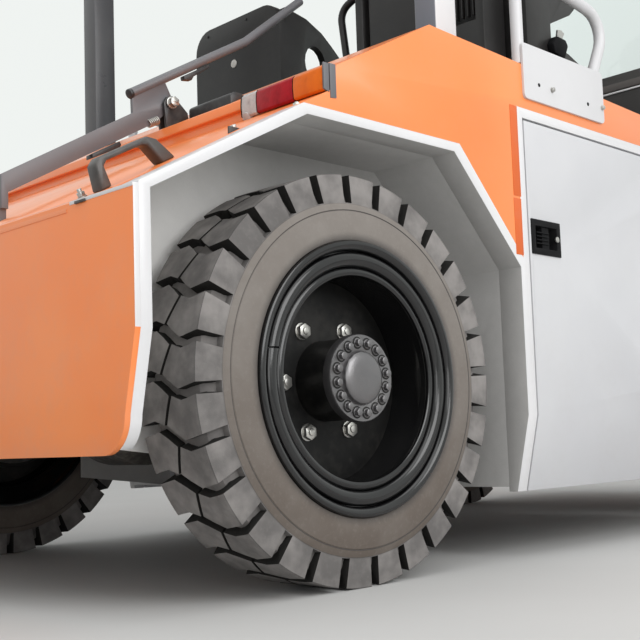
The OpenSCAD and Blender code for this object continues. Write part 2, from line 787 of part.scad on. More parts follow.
// Headlamps, one each side of the grille
module headlamps() {
  color(STEEL) both() translate([nose_panel_x - 30, lamp_y, lamp_z]) rotate([0, 90, 0]) {
    cylinder(r = lamp_r, h = 42);
    rotate_extrude() polygon([[0, 42], [lamp_r - 6, 42], [lamp_r * 0.6, 50], [0, 54]]);
  }
}

// Front bumper: a thick bar with cut-back ends
module front_bumper() {
  y = half_w - 10;
  color(BLACK) translate([0, 0, rear_low_z]) linear_extrude(height = 190)
    polygon([[nose_panel_x, -y], [nose_x - 35, -y], [nose_x, 60 - y], [nose_x, y - 60],
             [nose_x - 35, y], [nose_panel_x, y]]);
}

// Bonnet: folded top with side skirts, hinged at its rear edge
module bonnet() {
  y = half_w - wall - 50;
  x1 = nose_panel_x - plate - 5;
  x2 = x1 - 150;
  t = plate;
  top = [
    [bonnet_x, fender_line(bonnet_x) + bonnet_rise], [x2, fender_line(x2) + bonnet_rise],
    [x1, fender_line(x1) + bonnet_rise * 0.4]
  ];
  color(ORANGE) difference() {
    union() {
      profile(-y, y, [
        top[0], top[1], top[2], [x1, fender_line(x1) + 5], [x1 - t, fender_line(x1 - t) + 5],
        [x1 - t, top[2][1] - t + 4], [x2 - 2, top[1][1] - t], [bonnet_x, top[0][1] - t]
      ]);
      both() profile(y - t, y, [
        [bonnet_x, top[0][1] - t], [x2 - 2, top[1][1] - t], [x1 - t, top[2][1] - t + 4],
        [x1 - t, fender_line(x1 - t) + 5], [bonnet_x, fender_line(bonnet_x) + 5]
      ]);
      both() at_bonnet_hinge() cylinder(r = bonnet_barrel_r, h = bonnet_barrel_l, center = true);
    }
    both() at_bonnet_hinge()
      cylinder(r = bonnet_pin_r + running, h = bonnet_barrel_l + 2, center = true);
  }
}

// Places children on the left bonnet hinge, turned from +Z onto its axis
module at_bonnet_hinge() {
  translate([bonnet_x, bonnet_hinge_y, bonnet_hinge_z]) rotate([90, 0, 0]) children();
}

// Left side door leaf with its hinge knuckles; the right one is its mirror image
module door_leaf() {
  color(PALE) difference() {
    union() {
      side_wall(door_back_x, door_front_x - door_gap / 2, sill_z, door_top_z - door_gap, door_t);
      for (z = hinge_heights) {
        translate([door_hinge_x, door_hinge_y, z]) cylinder(r = hinge_r, h = 20, center = true);
        block([door_hinge_x - 36, half_w, z - 10], [door_hinge_x, half_w + 4, z + 10]);
      }
    }
    block([latch_x + 8, half_w - door_t - 1, latch_z + 8],
          [latch_x + latch_w - 8, half_w + 1, latch_z + latch_h - 8]);
    for (z = hinge_heights) translate([door_hinge_x, door_hinge_y, z])
      cylinder(r = hinge_pin_r + running, h = 30, center = true);
  }
}

// Left door latch: flange, pocket and paddle
module latch() {
  c = 8 + fit;
  color(BLACK) {
    difference() {
      union() {
        block([latch_x, half_w, latch_z], [latch_x + latch_w, half_w + 3, latch_z + latch_h]);
        block([latch_x + c, half_w - 22, latch_z + c],
              [latch_x + latch_w - c, half_w + 1, latch_z + latch_h - c]);
      }
      block([latch_x + 14, half_w - 18, latch_z + 14],
            [latch_x + latch_w - 14, half_w + 5, latch_z + latch_h - 14]);
    }
    block([latch_x + 44, half_w - 18, latch_z + 14], [latch_x + 70, half_w - 2, latch_z + latch_h - 14]);
  }
}

// Seat shells on the seat deck: a base, a back with round corners and a wing on each side of it
// with a slot through its upper part
module seat_shells() {
  w = seat_w / 2;
  corner = 70;
  back = [
    [-w, 40], [w, 40],
    for (a = [0:15:90]) [w - corner * (1 - cos(a)), shell_h - corner * (1 - sin(a))],
    for (a = [90:15:180]) [corner * (1 + cos(a)) - w, shell_h - corner * (1 - sin(a))]
  ];
  // Share of the wing's length, share of the shell's height
  wing = [
    [0.1, 0.072], [1.06, 0.072], [1.02, 0.28], [0.7, 0.33], [0.4, 0.35], [0.4, 0.44], [0.75, 0.52],
    [0.98, 0.62], [1.03, 0.7], [1, 0.77], [0.85, 0.83], [0.69, 0.887], [0.44, 0.94], [0.1, 0.968]
  ];
  slot = [for (a = [0:22.5:337.5]) [wing_l * (0.57 + 0.17 * cos(a)), shell_h * (0.7 + 0.1 * sin(a))]];
  color(BLACK) for (side = [-1, 1]) translate([seat_at, side * seat_y, seat_deck_z]) {
    block([0, -w, 0], [cushion_l + 60, w, 40]);
    along(0, 30) polygon(back);
    both() difference() {
      profile(w - 24, w, [for (p = wing) [wing_l * p[0], shell_h * p[1]]]);
      profile(w - 25, w + 1, slot);
    }
  }
}

// Seat cushions
module seat_cushions() {
  w = seat_w / 2 - 30;
  color(BLACK) for (side = [-1, 1]) translate([seat_at, side * seat_y, seat_deck_z])
    block([32, -w, 40.5], [cushion_l + 50, w, cushion_h]);
}

// Box behind the right seat, open in two recesses to the rear, with a grab tube on its inboard side
module seat_box() {
  back = seat_at - 96;
  outer = -seat_y - box_w / 2 + 65;
  inner = outer + box_w;
  top = seat_deck_z + box_h;
  color(BLACK) difference() {
    union() {
      block([back, outer, seat_deck_z], [seat_at - 12, inner, top]);
      rotate([0, 0, 90]) bent_tube(-back - 40, [
        [inner + 39, seat_deck_z - 8], [inner + 93, seat_deck_z + 405], [inner - 10, seat_deck_z + 445]
      ], 10, 40);
    }
    block([back - 5, outer + 25, seat_deck_z + 230], [back + 30, outer + 105, top - 25]);
    block([back - 5, outer + 130, seat_deck_z + 230], [back + 30, inner - 25, top - 25]);
    block([back, inner + 5, seat_deck_z - 30], [seat_at, inner + 80, seat_deck_z]);
  }
}

// Seat back pads
module seat_backs() {
  w = seat_w / 2 - 30;
  color(BLACK) for (side = [-1, 1]) translate([seat_at, side * seat_y, seat_deck_z])
    block([30.5, -w, cushion_h + 1], [100, w, shell_h - 45]);
}

// Hip guards: a bolted plate and a bent tube on each side panel
module hip_guards() {
  y = half_w - guard_r + 1;
  low = panel_line(guard_x) + 4;
  color(PALE) both() {
    block([guard_x - 9, half_w, guard_z], [guard_x + guard_l, half_w + 6, guard_z + guard_h]);
    bent_tube(y, [
      [guard_x, low], [guard_x, guard_top_z], [guard_x + guard_l + 62, guard_top_z - 47],
      [guard_x + guard_l - 32, low + 6]
    ], guard_r, 60);
  }
}

// Canopy posts: both front posts and the right rear post
module canopy_posts() {
  color(PALE) {
    post(post_at, -post_y, seat_deck_z);
    both() post(front_post_x, post_y, dash_z);
  }
}

// One upright post from z up to the canopy roof
module post(x, y, z) {
  block([x - post_l / 2, y - post_w / 2, z], [x + post_l / 2, y + post_w / 2, canopy_z - canopy_t]);
}

// Left rear canopy post, dark
module canopy_post_l() {
  color(BLACK) post(post_at, post_y, seat_deck_z);
}

// Canopy roof
module canopy_roof() {
  y = post_y + post_w / 2 + 20;
  color(PALE) block([post_at - 90, -y, canopy_z - canopy_t], [front_post_x + 90, y, canopy_z]);
}

// Windscreen between the front posts
module windscreen() {
  y = post_y - post_w / 2 - fit;
  color("#9FB4BC", 0.4)
    block([front_post_x - 3, -y, dash_z], [front_post_x + 3, y, canopy_z - canopy_t]);
}

// Dash: a hollow cowl across the vehicle, open below, with the bonnet's hinge brackets and pins
module dash() {
  y = half_w - wall;
  t = plate;
  color(BLACK) both() at_bonnet_hinge() {
    cylinder(r = bonnet_pin_r, h = bonnet_barrel_l + 24, center = true);
    for (z = [-1, 1]) translate([-26, -6, z * (bonnet_barrel_l / 2 + 7) - 5]) cube([34, 12, 10]);
  }
  color(BLACK) difference() {
    profile(-y, y, [
      [dash_back_x, dash_low_z], [dash_back_x, dash_z - 40], [dash_back_x + 40, dash_z],
      [dash_front_x, dash_z], [dash_front_x, dash_low_z]
    ]);
    profile(t - y, y - t, [
      [dash_back_x + t, dash_low_z - 5], [dash_back_x + t, dash_z - 40 - t / 2],
      [dash_back_x + 40 + t / 2, dash_z - t], [dash_front_x - t, dash_z - t],
      [dash_front_x - t, dash_low_z - 5]
    ]);
  }
}

// Turns children from +Z onto the steering column's axis, with the wheel's centre as origin
module at_column() {
  translate([column_x, seat_y, column_z]) rotate([0, -steer_tilt, 0]) children();
}

// Steering column, cut off at the dash
module steering_column() {
  color(BLACK) difference() {
    at_column() difference() {
      translate([0, 0, -420]) cylinder(r = 24, h = 395);
      translate([0, 0, -300]) cylinder(r = 9 + running, h = 300);
    }
    block([dash_back_x, 0, 0], [dash_front_x, half_w, canopy_z]);
  }
}

// Steering wheel with its shaft
module steering_wheel() {
  r = steer_d / 2 - 13;
  color(BLACK) at_column() {
    rotate_extrude($fn = 72) translate([r, 0]) circle(r = 13, $fn = 24);
    translate([0, 0, -22]) cylinder(r = 36, h = 30);
    translate([0, 0, -180]) cylinder(r = 9, h = 160);
    for (i = [0:2]) rotate(90 + i * 120) block([30, -12, -6], [r - 4, 12, 4]);
  }
}

// Pedals: pads on arms that stand on the footwell floor
module pedals() {
  color(BLACK) for (y = [seat_y - 90, seat_y + 60]) {
    block([dash_back_x - 10, y, floor_z], [dash_back_x + 20, y + 20, floor_z + 130]);
    block([dash_back_x - 24, y - 25, floor_z + 90], [dash_back_x - 10, y + 45, floor_z + 170]);
  }
}

// Tail lamps, one at each end of the riser
module tail_lamps() {
  x = riser_x - 32;
  color("#B3202C") both() profile(half_w - 229, half_w - 2, [
    [x, deck_line(x) + fit], [riser_x, riser_foot_z + fit], [riser_x, riser_top_z - 3],
    [x, riser_top_z - 3]
  ]);
}

// Grab handles on the lower deck
module deck_handles() {
  x = axle_x - 480;
  l = 130;
  color(BLACK) both() translate([x, half_w - 130, deck_line(x)]) rotate([0, -atan(deck_slope), 0])
    profile(-14, 14, [
      [0, 0], [10, 42], [24, 50], [l - 4, 50], [l + 12, 40], [l + 34, 0], [l + 4, 0],
      [l - 10, 36], [l - 20, 40], [34, 40], [24, 34], [22, 0]
    ]);
}

// Hitch release lever: flat bar, tube and the bracket that it pivots on
module hitch_lever() {
  x = axle_x + lever_x;
  z = riser_top_z + upper_slope * (x - riser_x);
  color(STEEL) {
    profile(lever_y - 4, lever_y + 4, [
      [x - 385, z - 225], [x - 385, z - 160], [x - 90, z + 14], [x - 91, z + 50], [x - 8, z + 99],
      [x + 12, z + 62], [x + 13, z + 44], [x - 19, z + 17], [x - 37, z + 1], [x - 371, z - 193],
      [x - 371, z - 225]
    ]);
    bent_tube(lever_y, [[x - 92, z + 56], [x + 224, z + 243], [x + 402, z + 388]], 10, 80);
    profile(lever_y + 4, lever_y + 14, [
      [x - 385, deck_line(x - 385)], [x - 371, deck_line(x - 371)], [x - 371, z - 195], [x - 385, z - 195]
    ]);
    for (y = [lever_y - 14, lever_y + 8]) profile(y, y + 6, [
      [x - 12, z - 12 * upper_slope], [x + 46, z + 46 * upper_slope], [x + 44, z + 36],
      [x + 16, z + 60], [x + 4, z + 66], [x - 10, z + 62], [x - 18, z + 48]
    ]);
    translate([x, lever_y, z + 50]) rotate([90, 0, 0]) cylinder(r = 8, h = 44, center = true);
  }
}

// Hitch: two jaws on a back plate, with a bore through both
module hitch() {
  w = hitch_w / 2;
  z1 = hitch_z - throat_h / 2;
  z2 = hitch_z + throat_h / 2;
  color(BLACK) difference() {
    union() {
      block([rear_x - 12, -w - 20, z1 - jaw_t - 20], [rear_x, w + 20, z2 + jaw_t + 20]);
      for (z = [z1 - jaw_t, z2]) translate([0, 0, z]) linear_extrude(height = jaw_t)
        polygon([[rear_x - 12, -w], [rear_x - hitch_reach + 25, -w * 0.7], [rear_x - hitch_reach, -w * 0.4],
                 [rear_x - hitch_reach, w * 0.4], [rear_x - hitch_reach + 25, w * 0.7], [rear_x - 12, w]]);
    }
    translate([hitch_pin_x, 0, z1 - jaw_t - 5])
      cylinder(r = pin_r + running, h = throat_h + 2 * jaw_t + 10);
  }
}

// Hitch pin with its collar and ring, which lifts out of the throat
module hitch_pin() {
  z1 = hitch_z - throat_h / 2 - jaw_t;
  z2 = hitch_z + throat_h / 2 + jaw_t;
  color(STEEL) translate([hitch_pin_x, 0, 0]) {
    translate([0, 0, z1 - 6]) cylinder(r = pin_r, h = z2 - z1 + 6);
    translate([0, 0, z2]) cylinder(r = pin_r + 8, h = 12);
    translate([0, 0, z2 + 12 + 24]) rotate([90, 0, 0])
      rotate_extrude() translate([22, 0]) circle(r = 5, $fn = 24);
  }
}

frame();
cab_floor();
battery_block();
rear_axle();
front_axle();
rear_body();
wheel_houses();
side_frames();
entry_panels();
steps();
front_body();
grille();
headlamps();
front_bumper();
bonnet();
mirror([0, 1, 0]) door_leaf();  // side_door_r
door_leaf();  // side_door_l
mirror([0, 1, 0]) latch();  // door_latch_r
latch();  // door_latch_l
rear_tyre(-1);  // rear_tyre_r
rear_tyre(1);  // rear_tyre_l
rear_rim(-1);  // rear_rim_r
rear_rim(1);  // rear_rim_l
rear_hub(-1);  // rear_hub_r
rear_hub(1);  // rear_hub_l
front_tyre(-1);  // front_tyre_r
front_tyre(1);  // front_tyre_l
front_wheel(-1);  // front_wheel_r
front_wheel(1);  // front_wheel_l
knuckle(-1);  // knuckle_r
knuckle(1);  // knuckle_l
steering_rod();
seat_shells();
seat_cushions();
seat_backs();
seat_box();
hip_guards();
canopy_posts();
canopy_post_l();
canopy_roof();
windscreen();
dash();
steering_column();
steering_wheel();
pedals();
tail_lamps();
deck_handles();
hitch_lever();
hitch();
hitch_pin();
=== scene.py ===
import json
import math
import bmesh
import bpy
from mathutils import Matrix, Vector

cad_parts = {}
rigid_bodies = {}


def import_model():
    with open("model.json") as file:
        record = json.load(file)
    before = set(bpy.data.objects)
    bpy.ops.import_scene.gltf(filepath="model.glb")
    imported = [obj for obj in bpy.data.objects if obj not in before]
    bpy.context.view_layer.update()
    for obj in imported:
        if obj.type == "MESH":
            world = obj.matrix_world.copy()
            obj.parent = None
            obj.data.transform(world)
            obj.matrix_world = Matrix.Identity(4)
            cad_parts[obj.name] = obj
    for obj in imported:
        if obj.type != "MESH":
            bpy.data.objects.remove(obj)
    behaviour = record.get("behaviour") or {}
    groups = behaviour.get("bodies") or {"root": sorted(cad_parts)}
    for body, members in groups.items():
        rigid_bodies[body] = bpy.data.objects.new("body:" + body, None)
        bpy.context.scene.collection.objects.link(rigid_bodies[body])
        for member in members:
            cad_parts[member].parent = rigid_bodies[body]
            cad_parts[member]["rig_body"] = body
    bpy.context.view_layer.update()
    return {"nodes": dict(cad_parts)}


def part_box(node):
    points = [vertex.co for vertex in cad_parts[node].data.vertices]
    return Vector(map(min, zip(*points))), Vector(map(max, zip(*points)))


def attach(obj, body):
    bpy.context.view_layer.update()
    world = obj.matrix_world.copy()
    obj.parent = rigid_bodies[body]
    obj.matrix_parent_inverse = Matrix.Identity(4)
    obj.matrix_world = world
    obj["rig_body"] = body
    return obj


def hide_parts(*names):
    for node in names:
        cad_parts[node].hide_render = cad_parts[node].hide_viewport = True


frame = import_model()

# Camera: it stands low, behind the tug and to its right, and looks across the rear right wheel
# towards the seats, as the photographer did.
mm = 0.001
sides = ((-1, "r"), (1, "l"))
from_wheel = Vector((-1.4243, -1.4554, -0.108))


def middle(node):
    """The middle of a CAD node's box."""
    return sum(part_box(node), Vector()) / 2


yaw, pitch, roll = math.radians(46.293), math.radians(5.558), math.radians(-2.114)
ahead = Vector((math.sin(yaw) * math.cos(pitch), math.cos(yaw) * math.cos(pitch), math.sin(pitch)))
level = Vector((math.cos(yaw), -math.sin(yaw), 0))
above = level.cross(ahead)
across = level * math.cos(roll) + above * math.sin(roll)
upward = above * math.cos(roll) - level * math.sin(roll)
lens = bpy.data.cameras.new("photographer")
lens.lens = 61.59
lens.sensor_width = 36
lens.sensor_fit = "HORIZONTAL"
lens.shift_x = -0.0705
lens.shift_y = 0.0174
lens.clip_start = 0.05
lens.clip_end = 60
camera = bpy.data.objects.new("camera", lens)
bpy.context.collection.objects.link(camera)
camera.matrix_world = (
    Matrix.Translation(middle("rear_tyre_r") + from_wheel)
    @ Matrix((across, upward, -ahead)).transposed().to_4x4())
bpy.context.scene.camera = camera


# Floor and light: a plain pale floor under a pale room, with a wide soft lamp overhead, one on
# the tug's right and a low one behind it that reaches into the wheel arch.
class Wire:
    """One socket of a shader, which can be used in sums."""

    def __init__(self, tree, socket):
        self.tree = tree
        self.socket = socket

    def node(self, kind, settings, sockets, output=0):
        made = self.tree.nodes.new("ShaderNode" + kind)
        for name, value in settings.items():
            setattr(made, name, value)
        for name, value in sockets.items():
            if isinstance(value, Wire):
                self.tree.links.new(value.socket, made.inputs[name])
            else:
                made.inputs[name].default_value = value
        return Wire(self.tree, made.outputs[output])

    def maths(self, operation, *values):
        return self.node("Math", {"operation": operation}, dict(enumerate(values)))

    def __add__(self, other):
        return self.maths("ADD", self, other)

    __radd__ = __add__

    def __mul__(self, other):
        return self.maths("MULTIPLY", self, other)

    __rmul__ = __mul__

    def __sub__(self, other):
        return self.maths("SUBTRACT", self, other)

    def __rsub__(self, other):
        return self.maths("SUBTRACT", other, self)

    def between(self, low, high):
        """0 up to low and 1 from high on, with a soft step between them."""
        return self.node("MapRange", {"interpolation_type": "SMOOTHSTEP"},
                         {0: self, 1: low, 2: high, 3: 0.0, 4: 1.0})

    def part(self, axis):
        """One part of a vector: 0 is X, 1 is Y and 2 is Z."""
        return self.node("SeparateXYZ", {}, {0: self}, axis)

    def tint(self, plain, tinted):
        """The plain colour at 0 and the tinted one at 1."""
        ends = [value if isinstance(value, Wire) else (*value, 1) for value in (plain, tinted)]
        return self.node("Mix", {"data_type": "RGBA"}, {0: self, 6: ends[0], 7: ends[1]}, 2)


class Coat:
    """A finish on the object: its steady values go straight onto the shader's own sockets."""

    def __init__(self, name, **steady):
        self.material = bpy.data.materials.new(name)
        self.material.use_nodes = True
        self.tree = self.material.node_tree
        self.shader = self.tree.nodes["Principled BSDF"]
        for socket, value in steady.items():
            self.shader.inputs[socket.replace("_", " ")].default_value = value
        texture = self.tree.nodes.new("ShaderNodeTexCoord")
        self.place = Wire(self.tree, texture.outputs["Object"])

    def mottle(self, scale, detail=3.0, roughness=0.55):
        """Cloudy noise from 0 to 1, with its scale in patches a metre."""
        return self.place.node("TexNoise", {}, {
            "Vector": self.place, "Scale": scale, "Detail": detail, "Roughness": roughness})

    def ribs(self, axis, pitch):
        """Waves from 0 to 1 along an axis, pitch millimetres apart."""
        return (self.place.part(axis) * (2 * math.pi / (pitch * mm))).maths("SINE") * 0.5 + 0.5

    def feed(self, socket, value):
        self.tree.links.new(value.socket, self.shader.inputs[socket])

    def relief(self, height, depth):
        """Raises the surface by depth metres where height is 1."""
        self.feed("Normal", self.place.node("Bump", {}, {
            "Strength": 1.0, "Distance": depth, "Height": height}))


def started(kind, name, **size):
    """Adds a primitive, which is then the only thing selected."""
    bpy.ops.object.select_all(action="DESELECT")
    getattr(bpy.ops.mesh, f"primitive_{kind}_add")(**size)
    piece = bpy.context.object
    piece.name = name
    piece.data.name = name
    return piece


floor = started("plane", "floor", size=40)
bpy.ops.object.mode_set(mode="EDIT")
bpy.ops.mesh.subdivide(number_cuts=3)
bpy.ops.object.mode_set(mode="OBJECT")
concrete = Coat("floor_concrete", Roughness=0.75)
concrete.feed("Base Color", concrete.mottle(1.2).tint((0.53, 0.53, 0.52), (0.61, 0.61, 0.60)))
floor.data.materials.append(concrete.material)

world = bpy.data.worlds.new("pale_room")
bpy.context.scene.world = world
world.use_nodes = True
air = world.node_tree
air.nodes.clear()
seen = Wire(air, air.nodes.new("ShaderNodeLightPath").outputs["Is Camera Ray"])
paths = seen.socket.node
for ray in ("Is Glossy Ray", "Is Transmission Ray"):
    seen = seen.maths("MAXIMUM", seen, Wire(air, paths.outputs[ray]))
shine = seen.node("Background", {}, {"Color": (1, 1, 1, 1), "Strength": 0.58})
wall_seen = seen.node("Background", {}, {"Color": (0.87, 0.90, 0.88, 1), "Strength": 1.0})
room = seen.node("MixShader", {}, {0: seen, 1: shine, 2: wall_seen})
sky = air.nodes.new("ShaderNodeOutputWorld")
air.links.new(room.socket, sky.inputs["Surface"])

for name, power, size, place, aim in (
    ("overhead_lamp", 70, 4.5, (-1.5, -1.0, 4.2), (-0.6, 0, 0.6)),
    ("side_lamp", 100, 3.0, (-0.8, -4.6, 2.4), (-0.6, -0.6, 0.6)),
    ("rear_lamp", 30, 2.4, (-4.0, -4.4, 1.0), (-1.0, -0.6, 0.5)),
):
    lamp = bpy.data.lights.new(name, "AREA")
    lamp.energy = power
    lamp.size = size
    holder = bpy.data.objects.new(name, lamp)
    bpy.context.collection.objects.link(holder)
    holder.matrix_world = Matrix.Translation(place) @ (
        Vector(aim) - Vector(place)).to_track_quat("-Z", "Y").to_matrix().to_4x4()
bpy.context.scene.view_settings.view_transform = "Standard"


# Frame, axles and floors: welded black steel with cast axle parts, all below the body and
# seldom washed, so dust lies on them. A ribbed rubber mat covers the footwell floor.
def span(node):
    """The lowest and the highest corner of a CAD node's box, in millimetres."""
    return [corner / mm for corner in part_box(node)]


def alone(piece):
    """Makes a piece the only one that is selected, and the active one."""
    bpy.ops.object.select_all(action="DESELECT")
    piece.select_set(True)
    bpy.context.view_layer.objects.active = piece


def fitted(piece, coat, body, *nodes, slot=None, smooth=35):
    """Smooths and coats a finished piece, sets it on its body and lets it stand for CAD nodes."""
    alone(piece)
    bpy.ops.object.shade_smooth_by_angle(angle=math.radians(smooth))
    piece.data.materials.clear()
    piece.data.materials.append(coat.material)
    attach(piece, body)
    if nodes:
        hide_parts(*nodes)
    return piece


def applied(piece, kind, **settings):
    """Adds a modifier and applies it."""
    alone(piece)
    modifier = piece.modifiers.new(kind.lower(), kind)
    for name, value in settings.items():
        setattr(modifier, name, value)
    bpy.ops.object.modifier_apply(modifier=modifier.name)


def rolled(piece, edge, angle=32, segments=2):
    """Rolls a piece's sharp edges over by edge millimetres."""
    applied(piece, "BEVEL", width=edge * mm, segments=segments, limit_method="ANGLE",
            angle_limit=math.radians(angle))


def placed(piece):
    """Puts a primitive's place, turn and size into its mesh."""
    alone(piece)
    bpy.ops.object.transform_apply(location=True, rotation=True, scale=True)
    return piece


def block(name, low, high, edge=1.5, segments=2):
    """A box between two corners in millimetres."""
    low, high = Vector(low) * mm, Vector(high) * mm
    piece = started("cube", name, size=1, location=(low + high) / 2)
    piece.scale = high - low
    placed(piece)
    if edge:
        rolled(piece, edge, segments=segments)
    return piece


def rod(name, start, end, radius, corners=20, edge=0.0):
    """A cylinder from one point to another in millimetres."""
    start, end = Vector(start) * mm, Vector(end) * mm
    piece = started("cylinder", name, vertices=corners, radius=radius * mm,
                    depth=(end - start).length)
    piece.matrix_world = Matrix.Translation((start + end) / 2) @ (
        end - start).to_track_quat("Z", "Y").to_matrix().to_4x4()
    placed(piece)
    if edge:
        rolled(piece, edge, 50)
    return piece


def joined(name, pieces):
    """Joins pieces into the first of them."""
    alone(pieces[0])
    for piece in pieces:
        piece.select_set(True)
    bpy.ops.object.join()
    pieces[0].name = name
    pieces[0].data.name = name
    return pieces[0]


def copied(piece, matrix):
    """A copy with its own mesh, moved by a matrix."""
    twin = bpy.data.objects.new(piece.name, piece.data.copy())
    bpy.context.collection.objects.link(twin)
    twin.data.transform(matrix)
    return twin


def paired(piece):
    """A piece joined with its mirror image on the other side of the tug."""
    twin = copied(piece, Matrix.Scale(-1, 4, (0, 1, 0)))
    twin.data.flip_normals()
    return joined(piece.name, [piece, twin])


def bolt(name, seat, outward, flats, reach=0):
    """A hexagon head on its washer, flats millimetres across, and a stud's end where it has a
    reach. seat is the middle of the face that it is tightened on."""
    seat, outward = Vector(seat), Vector(outward)
    washer_top = seat + outward * flats * 0.14
    head_top = seat + outward * flats * 0.72
    parts = [rod(name, seat, washer_top, flats * 0.66, 20, 0.4),
             rod(name, washer_top, head_top, flats / 1.732, 6, 0.9)]
    if reach:
        parts.append(rod(name, seat, seat + outward * reach, flats * 0.3, 14, 0.8))
    return joined(name, parts)


def fixed(name, parts, coat, slot, both_sides=False, body="chassis"):
    """Joins small parts, mirrors them where both sides have them, and fits them on a body."""
    piece = joined(name, parts)
    return fitted(paired(piece) if both_sides else piece, coat, body, slot=slot)


def dressed(node, coat, edge=1.5, smooth=32):
    """A copy of a CAD node with its edges rolled over by edge millimetres, as folded and
    ground plate has them."""
    source = frame["nodes"][node]
    piece = bpy.data.objects.new(node + "_skin", source.data.copy())
    bpy.context.collection.objects.link(piece)
    alone(piece)
    bpy.ops.object.mode_set(mode="EDIT")
    bpy.ops.mesh.select_all(action="SELECT")
    bpy.ops.mesh.remove_doubles(threshold=0.00002)
    bpy.ops.mesh.dissolve_limited(angle_limit=math.radians(0.5))
    bpy.ops.object.mode_set(mode="OBJECT")
    if edge:
        rolled(piece, edge, smooth)
    return fitted(piece, coat, source["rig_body"], node, smooth=smooth)


def paint(name, colour, faded, roughness, dust, peel=0.00002, **steady):
    """Sprayed paint: it fades a little in clouds, has a fine orange peel, and holds pale
    dust that thickens towards the floor."""
    coat = Coat(name, **steady)
    low = 1 - coat.place.part(2).between(0.1, 1.0)
    film = (coat.mottle(9, 4) * 0.6 + coat.mottle(60, 2) * 0.4).between(0.42, 0.72)
    shade = coat.mottle(2.5).between(0.3, 0.7).tint(colour, faded)
    coat.feed("Base Color", (film * (low * 0.7 + 0.3) * dust).tint(shade, (0.42, 0.39, 0.35)))
    coat.feed("Roughness", coat.mottle(14) * 0.16 + film * dust * 0.3 + (roughness - 0.08))
    coat.relief(coat.mottle(420, 1), peel)
    return coat


black_paint = paint("black_paint", (0.018, 0.018, 0.02), (0.028, 0.028, 0.03), 0.38, 0.35)
cast_iron = paint("cast_iron", (0.035, 0.034, 0.033), (0.06, 0.057, 0.052), 0.6, 0.5, 0.0003)
bare_steel = paint("bare_steel", (0.36, 0.36, 0.37), (0.27, 0.27, 0.28), 0.42, 0.3, Metallic=0.8)
zinc = paint("zinc", (0.58, 0.57, 0.54), (0.44, 0.43, 0.41), 0.3, 0.1, Metallic=0.85)
for node in ("frame", "cab_floor", "steps", "front_axle", "hitch"):
    dressed(node, black_paint)
for node in ("battery_block", "rear_axle"):
    dressed(node, cast_iron, 2.5)
for node in ("knuckle_r", "knuckle_l", "steering_rod", "hitch_pin"):
    dressed(node, bare_steel, 1.0)
mat_rubber = Coat("mat_rubber", Roughness=0.8)
mat_rubber.feed("Base Color", mat_rubber.mottle(30).tint((0.02, 0.02, 0.02), (0.05, 0.048, 0.045)))
mat_rubber.relief(mat_rubber.ribs(1, 12), 0.0015)
mat_z = span("entry_panels")[1].z
floor_mat = block("floor_mat", (112, -700, mat_z), (330, 700, mat_z + 5), 2)
fitted(floor_mat, mat_rubber, "chassis", slot="plastic")


# Rear body: orange sheet steel with a rear face, a sloped lower deck, a riser with the lamps
# and an upper deck, and side panels. Its plate edges are folded over at the rear and on the riser.
def drawn_out(name, sections):
    """A solid that starts as a flat face on the first section and is extruded through the
    others, each a list of corners in turn."""
    piece = started("circle", name, vertices=len(sections[0]), fill_type="NGON")
    bpy.ops.object.mode_set(mode="EDIT")
    corners = None
    for section in sections:
        if corners:
            bpy.ops.mesh.extrude_region_move()
        shape = bmesh.from_edit_mesh(piece.data)
        moved = [corner for corner in shape.verts if corner.select]
        if not corners:
            shape.faces.ensure_lookup_table()
            moved = list(shape.faces[0].verts)
            corners = [corner.co.copy() for corner in moved]
        order = [min(range(len(corners)), key=lambda i: (corners[i] - corner.co).length)
                 for corner in moved]
        for corner, i in zip(moved, order):
            corner.co = section[i]
        corners = [Vector(place) for place in section]
        bmesh.update_edit_mesh(piece.data)
    bpy.ops.mesh.select_all(action="SELECT")
    bpy.ops.mesh.normals_make_consistent(inside=False)
    bpy.ops.object.mode_set(mode="OBJECT")
    return piece


def profiled(name, corners, low, high, edge=0.0):
    """A strip of one section, from corners of (x, z), along the tug's width."""
    piece = drawn_out(name, [[Vector((x, y, z)) * mm for x, z in corners] for y in (low, high)])
    if edge:
        rolled(piece, edge)
    return piece


rear_x, rear_top_z, deck_slope = -1546, 655, 0.54587


def deck_z(x):
    """Height of the lower deck at a distance along the tug."""
    return rear_top_z + deck_slope * (x - rear_x)


def parted(piece, name, test):
    """Takes the faces that pass a test of their middle and normal into a piece of their own."""
    alone(piece)
    bpy.ops.object.mode_set(mode="EDIT")
    bpy.ops.mesh.select_all(action="DESELECT")
    shape = bmesh.from_edit_mesh(piece.data)
    for face in shape.faces:
        face.select_set(test(face.calc_center_median() / mm, face.normal))
    bmesh.update_edit_mesh(piece.data)
    bpy.ops.mesh.separate(type="SELECTED")
    bpy.ops.object.mode_set(mode="OBJECT")
    other = [found for found in bpy.context.selected_objects if found is not piece][0]
    other.name = name
    other.data.name = name
    return other


